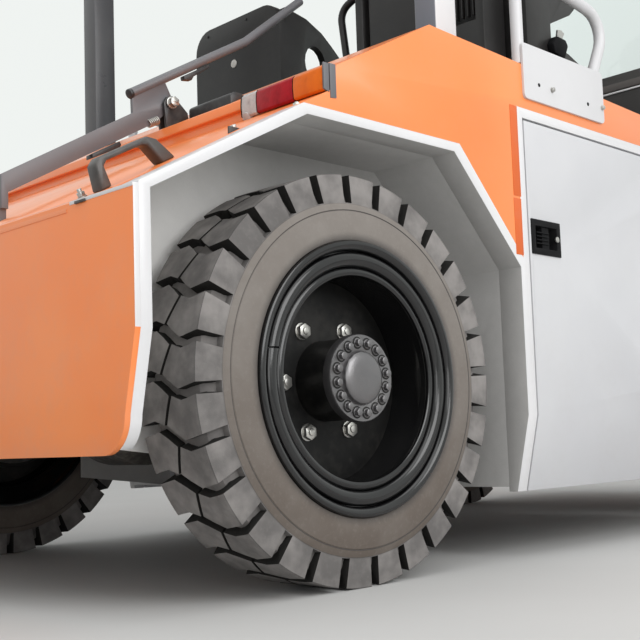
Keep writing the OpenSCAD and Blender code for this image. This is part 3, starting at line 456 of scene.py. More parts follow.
orange_paint = paint("orange_paint", (0.92, 0.245, 0.058), (0.94, 0.28, 0.075), 0.34, 0.10,
                     Coat_Weight=0.35, Coat_Roughness=0.15)
# A darker orange for the gap round each door: painted shade.
orange_gap_shade = paint("orange_gap_shade", (0.60, 0.10, 0.012), (0.70, 0.13, 0.02), 0.5, 0.2)
pale_paint = paint("pale_paint", (0.70, 0.70, 0.71), (0.75, 0.75, 0.76), 0.38, 0.08,
                   Coat_Weight=0.3, Coat_Roughness=0.15)
body = dressed("rear_body", orange_paint, 2.0)
corner_edge = parted(body, "rear_body_corner", lambda at, out: (
    at.x < rear_x + 46 and abs(at.y) > 744 and abs(out.y) > 0.25))
fitted(corner_edge, pale_paint, "chassis", slot="pale_paint")
riser_fold = profiled("riser_fold", [
    (-1108, 934), (-1113, 933.4), (-1117, 930), (-1119.5, 912), (-1118, 910), (-1108, 910)],
    -519, 519, 1.0)
rear_fold = profiled("rear_fold", [
    (-1526, 666.4), (-1536, 661.2), (-1542, 657), (-1545.4, 652), (-1546.8, 645), (-1546.8, 641),
    (-1532, 641), (-1522, 655)], -566, 566)
fixed("deck_folds", [riser_fold, rear_fold], orange_paint, "orange_paint")
# Two thin darker orange strips down each side panel stand in for the gap between the panel and the door
# frame: painted shade.
fixed("panel_gap_shadows", [
    block("panel_gap_shadow", (-586, -750.8, 640), (-560, -749.5, 762), 0.3),
    block("panel_gap_shadow", (-585, -750.8, 767), (-559, -749.5, 966), 0.3),
], orange_gap_shade, "orange_paint", both_sides=True)
flange_edges = paired(block("flange_edges", (-1547, -749.8, 651), (-1528, -574, 657.5), 1.5))
fitted(flange_edges, pale_paint, "chassis", slot="pale_paint")
deck_up = (-0.479, 0, 0.878)
studs = [bolt("stud", (x, y, z), up, 13, reach) for x, y, z, up, reach in (
    (-1526, -580, deck_z(-1526), deck_up, 15),
    (-1262, -645, deck_z(-1262), deck_up, 8),
    (-1176, -716, 848.5, (0, 0, 1), 12),
)]
fixed("deck_studs", studs, zinc, "steel", both_sides=True)
# Black blocks stand in for a notch in the rear edge and one in the deck on each side: painted shade
# inside the openings.
notch_x = -1292
notch_z = deck_z(notch_x)
fixed("deck_notch_shadows", [
    block("notch", (-1549, -622, 650), (-1528, -592, 654.5), 0.5),
    block("notch", (notch_x, -668, notch_z + 0.2), (notch_x + 24, -664, notch_z + 13.5), 0.5),
], black_paint, "black_paint", both_sides=True)

# Side frames: pale grey flanges round the wheel arches, the doors' frames and the entry
# panels, folded from steel and painted.
side_frames = dressed("side_frames", pale_paint, 1.5)
dressed("entry_panels", pale_paint, 1.5)
axle = middle("rear_tyre_r") / mm

# Wheel houses: thin folded plates round each wheel, painted grey. The wall behind the wheel is
# painted palest towards the rear and low down, a painted pool of light. The plates over the wheel
# and the inner faces of the flanges are painted near black in cloudy patches: painted shade.
house_paint = Coat("house_paint", Roughness=0.65, Specular_IOR_Level=0.15)
behind = 1 - house_paint.place.part(1).maths("ABSOLUTE").between(0.531, 0.534)
painted_low_light = 1 - house_paint.place.part(2).between(0.35, 0.85)
cloudy_patches = (house_paint.mottle(6, 5) * 0.6 + house_paint.mottle(45, 3) * 0.4).between(0.35, 0.7)
painted_rear_light = 1 - house_paint.place.part(0).between(-1.34, -1.04)
# The wall is painted paler towards the rear and low down: painted light.
lit_wall_grey = (painted_rear_light * 0.8 + painted_low_light * 0.1 + cloudy_patches * 0.1).tint(
    (0.42, 0.415, 0.405), (0.86, 0.85, 0.83))
lower_plate = 1 - house_paint.place.part(2).between(0.585, 0.60)
# The plates over the wheel are painted near black, a little less on the lower plate: painted shade.
shaded_roof_grey = lower_plate.tint(
    cloudy_patches.tint((0.022, 0.021, 0.019), (0.042, 0.040, 0.037)), (0.068, 0.069, 0.074))
house_paint.feed("Base Color", behind.tint(shaded_roof_grey, lit_wall_grey))
house_paint.relief(house_paint.mottle(260, 3), 0.0003)
dressed("wheel_houses", house_paint, 1.0)
# The flanges' inner faces take the same coat, with its painted shade.
flange_inside = parted(side_frames, "side_frames_inside", lambda at, out: (
    691 < abs(at.y) < 747 and abs(out.y) < 0.3 and -1499 < at.x < -560
    and out.x * (axle.x - at.x) + out.z * (axle.z - at.z) > 0))
fitted(flange_inside, house_paint, "chassis", slot="grey_paint")

# Side doors: one pressed leaf a side on two small hinges. The flush latch is black plastic with
# a pocket behind its paddle and a small silver lock.
door_paint = paint("door_paint", (0.56, 0.565, 0.585), (0.61, 0.615, 0.63), 0.32, 0.07,
                   Coat_Weight=0.3, Coat_Roughness=0.12)
latch_black = paint("latch_black", (0.005, 0.005, 0.006), (0.009, 0.009, 0.010), 0.6, 0.02,
                    Specular_IOR_Level=0.1)
for side, name in sides:
    dressed("side_door_" + name, door_paint, 2.0)
    dressed("door_latch_" + name, latch_black, 1.0)
    lock_y = 753 * side
    slot_low, slot_high = sorted((lock_y, lock_y + 2 * side))
    fixed("door_lock_" + name, [
        rod("lock", (-434, lock_y - 2 * side, 686), (-434, lock_y + 1.6 * side, 686), 6.5, 24, 0.6),
        block("key_slot", (-434.9, slot_low, 682), (-433.1, slot_high, 690), 0.2),
    ], zinc, "steel", body="side_door_" + name)
    rib_low, rib_high = sorted((side * 746, side * 751))
    ledges = [block("ledge", (-508, rib_low, z), (-462, rib_high, z + 2.5), 0.6)
              for z in (671, 679, 687, 695)]
    fixed(f"door_latch_{name}_ribs", ledges, latch_black, "plastic", body="side_door_" + name)


# Tail lamps: a moulded lens of three colours on each end of the riser, clear inboard with its
# screw foot, red, and faceted amber at the corner. It stands on a dark gasket.
def lens_part(name, low, high, grow=0.0):
    """A piece of the right lens between two distances from the tug's middle."""
    section = [(-1112, 895 - grow), (-1134, 882 - grow), (-1140 - grow, 885), (-1141.6 - grow, 905),
               (-1140.4 - grow, 923), (-1136, 928.6 + grow), (-1112, 929 + grow)]
    return profiled(name, section, -high, -low, 1.6)


lamp_clear = Coat("lamp_clear", Roughness=0.12, Transmission_Weight=0.35, IOR=1.49, Coat_Weight=0.5)
# Each lens's colour brightens and darkens with its ribs and facets: painted glints. The same pattern
# raises the facets.
facets_and_glints = lamp_clear.ribs(1, 5.0) * 0.5 + lamp_clear.mottle(70, 2) * 0.5
lamp_clear.feed("Base Color", facets_and_glints.between(0.3, 0.7).tint((0.36, 0.32, 0.31), (0.78, 0.74, 0.73)))
lamp_clear.relief(facets_and_glints, 0.002)
lamp_red = Coat("lamp_red", Roughness=0.3, Coat_Weight=0.08, Specular_IOR_Level=0.15)
facets_and_glints = (lamp_red.ribs(1, 8.0) * 0.35 + lamp_red.ribs(2, 7.0) * 0.15
         + lamp_red.mottle(55, 2) * 0.5)
lamp_red.feed("Base Color", facets_and_glints.between(0.3, 0.75).tint((0.20, 0.002, 0.008), (0.42, 0.008, 0.018)))
lamp_red.relief(facets_and_glints, 0.0018)
lamp_amber = Coat("lamp_amber", Roughness=0.3, Coat_Weight=0.08, Specular_IOR_Level=0.15)
facets_and_glints = (lamp_amber.ribs(1, 11.0) * 0.35 + lamp_amber.ribs(2, 12.0) * 0.25
         + lamp_amber.mottle(42, 2) * 0.4)
lamp_amber.feed("Base Color", facets_and_glints.between(0.3, 0.7).tint((0.42, 0.05, 0.002), (0.82, 0.17, 0.008)))
lamp_amber.relief(facets_and_glints, 0.003)
lens_end, red_end, clear_end = 746, 668, 566
fitted(paired(lens_part("tail_lens_red", clear_end + 1, red_end)), lamp_red, "chassis",
       "tail_lamps", slot="lamp")
fitted(paired(lens_part("tail_lens_amber", red_end + 1, lens_end)), lamp_amber, "chassis",
       slot="lamp")
fixed("tail_lens_clear", [
    lens_part("clear", 523, clear_end),
    rod("foot", (-1138, -533, 881), (-1124, -533, 889), 11, 20, 1.5),
], lamp_clear, "lamp", both_sides=True)
fixed("lamp_gasket", [
    lens_part("gasket", 521.5, 522.8, 0.8),
    lens_part("gasket", clear_end, clear_end + 1, 0.3),
    lens_part("gasket", red_end, red_end + 1, 0.3),
], latch_black, "plastic", both_sides=True)
end_plates = [
    profiled("end", [(-1141, 884), (-1128, 880), (-1128, 933), (-1141, 933)], -751, -747, 0.6),
    profiled("end", [(-1126, 870), (-1111, 872), (-1111, 934), (-1126, 934)], -751.6, -747, 0.6)]
lever_grey = paint("lever_grey", (0.125, 0.125, 0.135), (0.15, 0.15, 0.16), 0.42, 0.12)
fixed("lamp_end_plate", end_plates, lever_grey, "grey_paint", both_sides=True)

# Deck fittings: two moulded grab handles, the hitch's release lever of flat bar with a welded
# tube, on two black ears with a slotted bolt, and a rubber stop under the bar.
handle_black = paint("handle_black", (0.05, 0.047, 0.045), (0.085, 0.08, 0.075), 0.36, 0.25)
dressed("deck_handles", handle_black, 3.5)
lever_y = -220
lever = dressed("hitch_lever", lever_grey, 1.0)
ears = parted(lever, "hitch_lever_ears", lambda at, out: (
    abs(at.y - lever_y) > 4.5 and at.z < 1012 and -1115 < at.x < -1040))
fitted(ears, black_paint, "chassis", slot="black_paint")
pivot = [bolt("pivot", (-1093, -236, 992), (0, -1, 0), 20),
         block("slot", (-1100, -252, 990.6), (-1086, -250, 993.4), 0.4)]
coils = []
for i in range(6):
    coil = started("torus", "coil", major_radius=8 * mm, minor_radius=1.5 * mm,
                   major_segments=20, minor_segments=8)
    coil.matrix_world = (
        Matrix.Translation(Vector((-1142 + i * 4.2, lever_y - 1, 941 + i * 2.2)) * mm)
        @ Vector((0.88, 0, 0.47)).to_track_quat("Z", "Y").to_matrix().to_4x4())
    coils.append(placed(coil))
fixed("hitch_lever_bolts", pivot + coils, zinc, "steel")
stop_bar = profiled("stop", [
    (-1286, 850), (-1221, 887), (-1217, 880), (-1221, 874), (-1286, 841)],
    lever_y - 12, lever_y + 12, 1.5)
clip = profiled("clip", [
    (-1052, 1063), (-982, 1104), (-979, 1098), (-1024, 1068), (-1030, 1058), (-1050, 1055)],
    lever_y - 7, lever_y + 7, 1.5)
cap = rod("cap", (-1190, lever_y, 995), (-1183, lever_y, 999), 10.6, 24, 1.5)
bracket = profiled("bracket", [
    (-1064, 950), (-1030, 968), (-1030, 986), (-1052, 986), (-1064, 978)], -398, -256, 4)
fixed("hitch_lever_stop", [stop_bar, clip, cap, bracket], black_paint, "black_paint")

# Seats: two moulded black shells on the seat deck. The box behind the right one is moulded too,
# with a ribbed recess and a grab tube. A pale plug and two screws show on each shell's back.
shell_black = paint("shell_black", (0.013, 0.012, 0.012), (0.019, 0.0175, 0.0175), 0.42, 0.05, 0.00015,
                    Specular_IOR_Level=0.4)
dressed("seat_shells", shell_black, 7.0, 28)
dressed("seat_box", shell_black, 3.0)
seat_y = 440
seat_ribs = []
for side in (-1, 1):
    for y, z in ((side * seat_y - 50, 1558), (side * seat_y + 138, 1555)):
        seat_ribs.append(rod("screw", (-346, y, z), (-343, y, z), 4.5, 14, 0.8))
for y in range(-556, -487, 17):
    seat_ribs.append(block("rib", (-440, y, 1262), (-428, y + 3, 1463), 0.8))
seat_ribs.append(block("pad", (-436, -440, 1264), (-408, -205, 1462), 12, 4))
fixed("seat_ribs", seat_ribs, shell_black, "plastic")
plug_pale = paint("plug_pale", (0.55, 0.54, 0.50), (0.62, 0.61, 0.57), 0.45, 0.1)
plugs = [rod("plug", (-347, y, 1433), (-343, y, 1433), 13, 28, 1.5) for y in (452, -428)]
fixed("seat_plugs", plugs, plug_pale, "plastic")

# Seat belts' buckles: black plastic, each with a steel tongue, on a short stiff stalk beside the
# seat's base.
buckles, tongues = [], []
for buckle_y in (-648, 648):
    buckles.append(rod("stalk", (-214, buckle_y, 1066), (-232, buckle_y, 1188), 7, 14, 1.0))
    buckles.append(profiled("buckle", [
        (-256, 1182), (-214, 1176), (-196, 1212), (-206, 1226), (-244, 1228), (-262, 1206)],
        buckle_y - 12, buckle_y + 12, 4))
    tongues.append(profiled("tongue", [
        (-232, 1224), (-214, 1223), (-198, 1246), (-210, 1252), (-226, 1250)],
        buckle_y - 3, buckle_y + 3, 0.8))
fixed("belt_buckles", buckles, latch_black, "plastic")
fixed("belt_tongues", tongues, zinc, "steel")


# Seat cushions and backs: foam under black vinyl, with a sewn seam round each and three channels
# across its middle, set into the shells.
def swollen(piece, cap):
    """Blows up a cushion's cover with Cloth, with no point moved by more than cap millimetres."""
    applied(piece, "REMESH", mode="VOXEL", voxel_size=6 * mm)
    rest = [point.co.copy() for point in piece.data.vertices]
    cover = piece.modifiers.new("cover", "CLOTH")
    cover.settings.use_pressure = True
    cover.settings.uniform_pressure_force = 4
    cover.settings.effector_weights.gravity = 0
    for step in range(1, 21):
        bpy.context.scene.frame_set(step)
    alone(piece)
    bpy.ops.object.modifier_apply(modifier=cover.name)
    bpy.context.scene.frame_set(1)
    for point, start in zip(piece.data.vertices, rest):
        moved = point.co - start
        if moved.length > cap * mm:
            point.co = start + moved.normalized() * cap * mm
    applied(piece, "SUBSURF", levels=1, render_levels=1)
    return piece


def sewn(piece, low, high, out, channels):
    """Presses a seam round a cushion and channels into the face that it shows, which looks along
    the axis out, and keeps it between its two corners."""
    seam_in, seam_wide, seam_deep = 24, 2.6, 3.4
    channel_wide, channel_deep, blend = 4.5, 6.0, 12
    low, high = Vector(low) * mm, Vector(high) * mm
    heart = (low + high) / 2
    for point in piece.data.vertices:
        at = point.co
        seam = math.exp(-((at[out] - (high[out] - seam_in * mm)) / (seam_wide * mm)) ** 2)
        inward = heart - at
        inward[out] = 0
        at += inward.normalized() * seam_deep * mm * seam
        for channel in channels:
            fold = math.exp(-((at.y - channel * mm) / (channel_wide * mm)) ** 2)
            face = max(0.0, min(1.0, (at[out] - heart[out]) / (blend * mm)))
            at[out] -= channel_deep * mm * fold * face
        for axis in range(3):
            at[axis] = max(low[axis], min(high[axis], at[axis]))
        point.co = at


vinyl = paint("vinyl", (0.016, 0.016, 0.018), (0.024, 0.024, 0.026), 0.40, 0.05)
vinyl.relief(vinyl.mottle(900, 2) * 0.5 + vinyl.mottle(26, 2) * 0.5, 0.0007)
for name, node, low, high, out in (
    ("seat_cushion", "seat_cushions", (-312, 270, 1060.6), (106, 610, 1145), 2),
    ("seat_back", "seat_backs", (-313.5, 270, 1146), (-244, 610, 1530), 0),
):
    start = block(name, [value + 9 for value in low], [value - 9 for value in high], 16, 4)
    swollen(start, 14)
    sewn(start, low, high, out, (seat_y - 55, seat_y, seat_y + 55))
    other = copied(start, Matrix.Translation((0, -2 * seat_y * mm, 0)))
    for piece, seat in ((start, "_l"), (other, "_r")):
        piece.name = piece.data.name = name + seat
        fitted(piece, vinyl, "chassis", node, smooth=60)

# Hip guards: a pale plate with rounded corners bolted through each side panel, and a bent tube
# welded to it.
guard_paint = paint("guard_paint", (0.62, 0.62, 0.63), (0.67, 0.67, 0.68), 0.38, 0.08)
guard = dressed("hip_guards", guard_paint, 0)
alone(guard)
bpy.ops.object.mode_set(mode="EDIT")
bpy.ops.mesh.select_all(action="DESELECT")
shape = bmesh.from_edit_mesh(guard.data)
plate_y, plate_top, corner_radius = 749, 1120, 11
for edge in shape.edges:
    start, end = (corner.co / mm for corner in edge.verts)
    crosses = abs(start.x - end.x) + abs(start.z - end.z) < 0.2 and abs(start.y - end.y) > 3
    edge.select = (
        crosses and min(abs(start.y), abs(end.y)) > plate_y and start.z < plate_top)
bmesh.update_edit_mesh(guard.data)
bpy.ops.mesh.bevel(offset=corner_radius * mm, segments=5)
bpy.ops.object.mode_set(mode="OBJECT")
rolled(guard, 1.0, 35)
alone(guard)
bpy.ops.object.shade_smooth_by_angle(angle=math.radians(35))
guard_bolts = [bolt("guard_bolt", (x, -756, 1028), (0, -1, 0), 9.5, 7.7) for x in (-427, -217)]
fixed("hip_guard_bolts", guard_bolts, zinc, "steel", both_sides=True)
# Two near-black discs a side stand in for empty bolt holes: painted shade.
guard_hole_shadows = [rod("hole", (x, -756.3, z), (x, -755, z), 4.5, 16)
               for x, z in ((-477, 1029), (-279, 1025))]
fixed("hip_guard_hole_shadows", guard_hole_shadows, latch_black, "black_paint", both_sides=True)

# Canopy: square tube posts and a flat roof with a drip edge. The right rear post's faces that
# look in and back are painted dark blue-grey as painted shade, and the left one is black.
post_paint = paint("post_paint", (0.76, 0.76, 0.77), (0.80, 0.80, 0.81), 0.35, 0.06)
# The right rear post's inner and rear faces are painted dark blue-grey: painted shade.
shaded_inner_faces = post_paint.place.part(1).between(-0.6785, -0.6775) * (
    1 - post_paint.place.part(0).between(-0.55, -0.5))
post_paint.feed("Base Color", shaded_inner_faces.tint(
    post_paint.mottle(2.5).tint((0.72, 0.72, 0.73), (0.80, 0.80, 0.81)), (0.19, 0.205, 0.24)))
dressed("canopy_posts", post_paint, 5.0)
dressed("canopy_roof", pale_paint, 10.0)
post_black = paint("post_black", (0.07, 0.073, 0.078), (0.09, 0.093, 0.10), 0.3, 0.1)
dressed("canopy_post_l", post_black, 5.0)
roof_low, roof_high = span("canopy_roof")
gutter = []
for low, high in (((roof_low.x + 1, roof_low.y + 1), (roof_high.x - 1, roof_low.y + 5)),
                  ((roof_low.x + 1, roof_high.y - 5), (roof_high.x - 1, roof_high.y - 1)),
                  ((roof_low.x + 1, roof_low.y + 5), (roof_low.x + 5, roof_high.y - 5)),
                  ((roof_high.x - 5, roof_low.y + 5), (roof_high.x - 1, roof_high.y - 5))):
    gutter.append(block("gutter", (*low, roof_low.z - 9), (*high, roof_low.z + 12), 1.0))
fixed("canopy_gutter", gutter, pale_paint, "pale_paint")

# Windscreen: clear glass in a black rubber seal, with one wiper that parks along the bottom.
glass = Coat("glass", Roughness=0.03, Transmission_Weight=1.0, IOR=1.45)
glass.feed("Base Color", glass.mottle(3).tint((0.86, 0.93, 0.92), (0.93, 0.97, 0.96)))
dressed("windscreen", glass, 0.5)
glass_low, glass_high = span("windscreen")
seal = [block("seal", low, high, 3) for low, high in (
    ((502, glass_low.y, glass_low.z), (520, glass_low.y + 16, glass_high.z)),
    ((502, glass_high.y - 16, glass_low.z), (520, glass_high.y, glass_high.z)),
    ((502, glass_low.y + 16, glass_low.z), (520, glass_high.y - 16, glass_low.z + 16)),
    ((502, glass_low.y + 16, glass_high.z - 16), (520, glass_high.y - 16, glass_high.z)))]
wiper = [rod("wiper", (532, 330, 1352), (524, 60, 1420), 4, 12, 1),
         rod("wiper", (520, -150, 1372), (520, 260, 1474), 3.5, 10, 1),
         rod("wiper", (516, 330, 1346), (540, 330, 1350), 13, 20, 2)]
fixed("windscreen_seal", seal + wiper, mat_rubber, "plastic")

# Dash and controls: a moulded black cowl with a lighter band and a pale line along its rear face,
# a pod with two dials, a row of rocker switches, and the steering wheel with its soft rim.
dash_black = paint("dash_black", (0.034, 0.032, 0.031), (0.045, 0.043, 0.042), 0.45, 0.12, 0.00015)
band_grey = paint("band_grey", (0.085, 0.075, 0.07), (0.11, 0.10, 0.095), 0.5, 0.12)
dial_white = paint("dial_white", (0.70, 0.70, 0.66), (0.76, 0.76, 0.72), 0.4, 0.02)
dressed("dash", dash_black, 6.0)
for node in ("steering_column", "pedals"):
    dressed(node, dash_black, 1.5)
dressed("steering_wheel", shell_black, 1.5)
dash_band = block("dash_band", (350, -724, 1262), (357, 724, 1284), 3)
fitted(dash_band, band_grey, "chassis", slot="plastic")
dash_line = block("dash_line", (351, -724, 1254), (357, 724, 1259), 1)
fitted(dash_line, pale_paint, "chassis", slot="pale_paint")
pod = profiled("dash_pod", [
    (362, 1296), (372, 1362), (392, 1378), (440, 1370), (482, 1322), (396, 1322)], 334, 546, 7)
switches = [block("switch", (345, y, 1146), (352, y + 22, 1184), 2.5)
            for y in (30, 62, 94, 126, -60)]
fixed("dash_pod_switches", [pod] + switches, shell_black, "plastic")
dial_out = Vector((-0.989, 0, 0.15))
dial_ys, dial_z = (392, 488), 1334
for name, coat, radius, reach, slot in (
    ("dials", dial_white, 33, 2.0, "lamp"),
    ("dial_rims", zinc, 38, 1.0, "steel"),
):
    faces = []
    for y in dial_ys:
        seat = Vector((367.5, y, dial_z))
        faces.append(rod(name, seat, seat + dial_out * reach, radius, 40, 0.5))
    fixed("dash_" + name, faces, coat, slot)
needles = [rod("needle", (365.2, y, dial_z), (365.2, y - 16, dial_z + 18), 1.3, 8)
           for y in dial_ys]
for y in dial_ys:
    for step in range(-120, 121, 30):
        aside, up = math.sin(math.radians(step)), math.cos(math.radians(step))
        needles.append(rod("tick", (365.3, y + 27 * aside, dial_z + 27 * up),
                           (365.0, y + 31 * aside, dial_z + 31 * up), 0.9, 6))
fixed("dash_needles", needles, latch_black, "plastic")
pedal_ys = (350, 500)
pads = [block("pad", (327, y - 27, 788), (333, y + 47, 872), 3) for y in pedal_ys]
treads = [block("pad", (325.2, y - 22, z), (328, y + 42, z + 4), 0.8)
          for y in pedal_ys for z in range(796, 868, 12)]
fixed("pedal_rubbers", pads + treads, mat_rubber, "plastic")

# Front body: orange fenders and nose with a hinged bonnet, a black slatted grille, a thick black
# bumper, and two round headlamps with a chromed rim and a ribbed lens.
for node in ("front_body", "bonnet"):
    dressed(node, orange_paint, 2.0)
dressed("grille", black_paint, 1.0)
dressed("front_bumper", black_paint, 8.0)
dressed("headlamps", bare_steel, 2.0)
lamp_lens = Coat("lamp_lens", Roughness=0.08, Transmission_Weight=0.3, IOR=1.49, Coat_Weight=0.6)
# The lens's colour follows its ribs, pale on the crests: painted glints.
lamp_lens.feed("Base Color", lamp_lens.ribs(1, 9.0).tint((0.60, 0.62, 0.63), (0.86, 0.88, 0.88)))
lamp_lens.relief(lamp_lens.ribs(1, 9.0) * 0.7 + lamp_lens.ribs(2, 24.0) * 0.3, 0.0016)
lamp_y, lamp_z = 540, 640
rims = []
for y in (-lamp_y, lamp_y):
    ring = started("torus", "rim", major_radius=65 * mm, minor_radius=5.5 * mm,
                   major_segments=56, minor_segments=12)
    ring.matrix_world = Matrix.Translation(Vector((1607, y, lamp_z)) * mm) @ Matrix.Rotation(
        math.pi / 2, 4, "Y")
    rims.append(placed(ring))
fixed("headlamp_rims", rims, zinc, "steel")
front_lens = rod("headlamp_lenses", (1600, -lamp_y, lamp_z), (1613, -lamp_y, lamp_z), 62, 48, 6)
fitted(paired(front_lens), lamp_lens, "chassis", slot="lamp")
nose_low, nose_high = span("front_bumper")
bolt_rows = [rod("bumper_bolt", (nose_high.x - 3, y, z), (nose_high.x - 0.2, y, z), 13, 6, 1.0)
             for y in (-420, -250) for z in (nose_low.z + 45, nose_low.z + 145)]
fixed("bumper_bolts", bolt_rows, zinc, "steel", both_sides=True)

# Hitch bolts: four zinc-plated bolts that hold the hitch jaw's plate to the rear of the frame.
hitch_low, hitch_high = span("hitch")
plate_x = -1558
hitch_bolts = [bolt("hitch_bolt", (plate_x, hitch_high.y - 14, z), (-1, 0, 0), 19, 18)
               for z in (hitch_low.z + 18, hitch_high.z - 18)]
fixed("hitch_bolts", hitch_bolts, zinc, "steel", both_sides=True)


# Rear tyres: solid rubber with twenty-eight lugs a side, which meet in a zigzag of deep
# grooves, over a smooth bulged sidewall. Road dust has turned them taupe.
def turned(name, points, centre, side, steps=112):
    """A round piece on a wheel's axle, spun from points of (radius, distance outboard)."""
    piece = started("plane", name, size=0.01, location=centre)
    places = [centre + Vector((radius * mm, side * out * mm, 0)) for radius, out in points]
    bpy.ops.object.mode_set(mode="EDIT")
    bpy.ops.mesh.select_all(action="SELECT")
    bpy.ops.mesh.merge(type="CENTER")
    for start, end in zip([centre] + places, places):
        step = {"value": end - start}
        if start is centre:
            bpy.ops.transform.translate(**step)
        else:
            bpy.ops.mesh.extrude_vertices_move(TRANSFORM_OT_translate=step)
    bpy.ops.mesh.select_all(action="SELECT")
    bpy.ops.mesh.spin(steps=steps, angle=2 * math.pi, center=centre, axis=(0, 1, 0))
    bpy.ops.mesh.select_all(action="SELECT")
    bpy.ops.mesh.remove_doubles(threshold=0.00001)
    bpy.ops.mesh.normals_make_consistent(inside=False)
    bpy.ops.object.mode_set(mode="OBJECT")
    return placed(piece)


def about(centre, turn):
    """A turn about a wheel's axle, in radians."""
    return (Matrix.Translation(centre) @ Matrix.Rotation(turn, 4, "Y")
            @ Matrix.Translation(-centre))


def lug(name, shoulder, foot, pitch):
    """One lug laid out flat: x runs round the tread, y from its middle to the shoulder and z
    out from the tread's surface. Stations go from the slit to the shoulder's foot."""
    drawn_shoulder, drawn_pitch = 77.5, 83.7
    wide = shoulder / drawn_shoulder
    long = pitch / drawn_pitch
    stations = (
        # low edge x, y, high edge x, y, top z, base z, base y (0: as the edges)
        (18, -7.5, 65.7, 14.5, 0, -20, 0),
        (5, 11, 61.7, 26, 0, -20, 0),
        (-8, 33, 57.7, 39, 0, -22, 0),
        (-3.5, 55, 61.0, 58, 0, -26, 52),
        (0.9, 76.9, 65.1, 76.9, 0, -36, 58),
        (1, 77.5, 65.2, 77.5, -1.2, -40, 60),
        (2.5, foot / wide, 63.7, foot / wide, -53, -57, 60),
    )
    sections = []
    for low_x, low_y, high_x, high_y, top, base, base_y in stations:
        draft = 0.08 * (top - base)
        sections.append([
            Vector(((low_x - draft) * long, (base_y or low_y) * wide, base)) * mm,
            Vector((low_x * long, low_y * wide, top)) * mm,
            Vector((high_x * long, high_y * wide, top)) * mm,
            Vector(((high_x + draft) * long, (base_y or high_y) * wide, base)) * mm])
    piece = drawn_out(name, sections)
    bpy.ops.object.mode_set(mode="EDIT")
    for cut in range(-5, 80, 12):
        bpy.ops.mesh.select_all(action="SELECT")
        bpy.ops.mesh.bisect(plane_co=(cut * long * mm, 0, 0), plane_no=(1, 0, 0))
    bpy.ops.object.mode_set(mode="OBJECT")
    rolled(piece, 1.2, 28)
    # Faces marked as grooves are painted near black later: painted shade.
    marks = piece.data.attributes.new("groove", "FLOAT", "FACE")
    for face, mark in zip(piece.data.polygons, marks.data):
        shoulder_face = face.normal.y > 0.4 and face.center.y > 75 * wide * mm
        mark.value = 0.0 if face.normal.z > 0.55 or shoulder_face else 1.0
        if shoulder_face and face.normal.z > 0.3:
            mark.value = 0.6
    return piece


def treaded(name, centre, side, radius, shoulder, foot, count, phase, carcass):
    """A tyre: its carcass, and the lugs of both rows rolled round it."""
    pitch = 2 * math.pi * radius / count
    outer = lug(name + "_lug", shoulder, foot, pitch)
    half_turn = (
        Matrix.Translation((pitch * mm / 2, 0, 0)) @ Matrix.Rotation(math.pi, 4, "Z")
        @ Matrix.Translation((-pitch * mm / 2, 0, 0)))
    rows = [outer, copied(outer, half_turn)]
    for row in rows:
        for point in row.data.vertices:
            turn = point.co.x / (radius * mm) + phase
            out = radius * mm + point.co.z
            point.co = centre + Vector((-out * math.cos(turn), side * point.co.y, out * math.sin(turn)))
    pieces = [carcass]
    for i in range(count):
        turn = about(centre, 2 * math.pi * i / count)
        pieces += [copied(row, turn) for row in rows]
    for row in rows:
        bpy.data.objects.remove(row)
    tyre = joined(name, pieces)
    bpy.ops.object.mode_set(mode="EDIT")
    bpy.ops.mesh.select_all(action="SELECT")
    bpy.ops.mesh.normals_make_consistent(inside=False)
    bpy.ops.object.mode_set(mode="OBJECT")
    return tyre


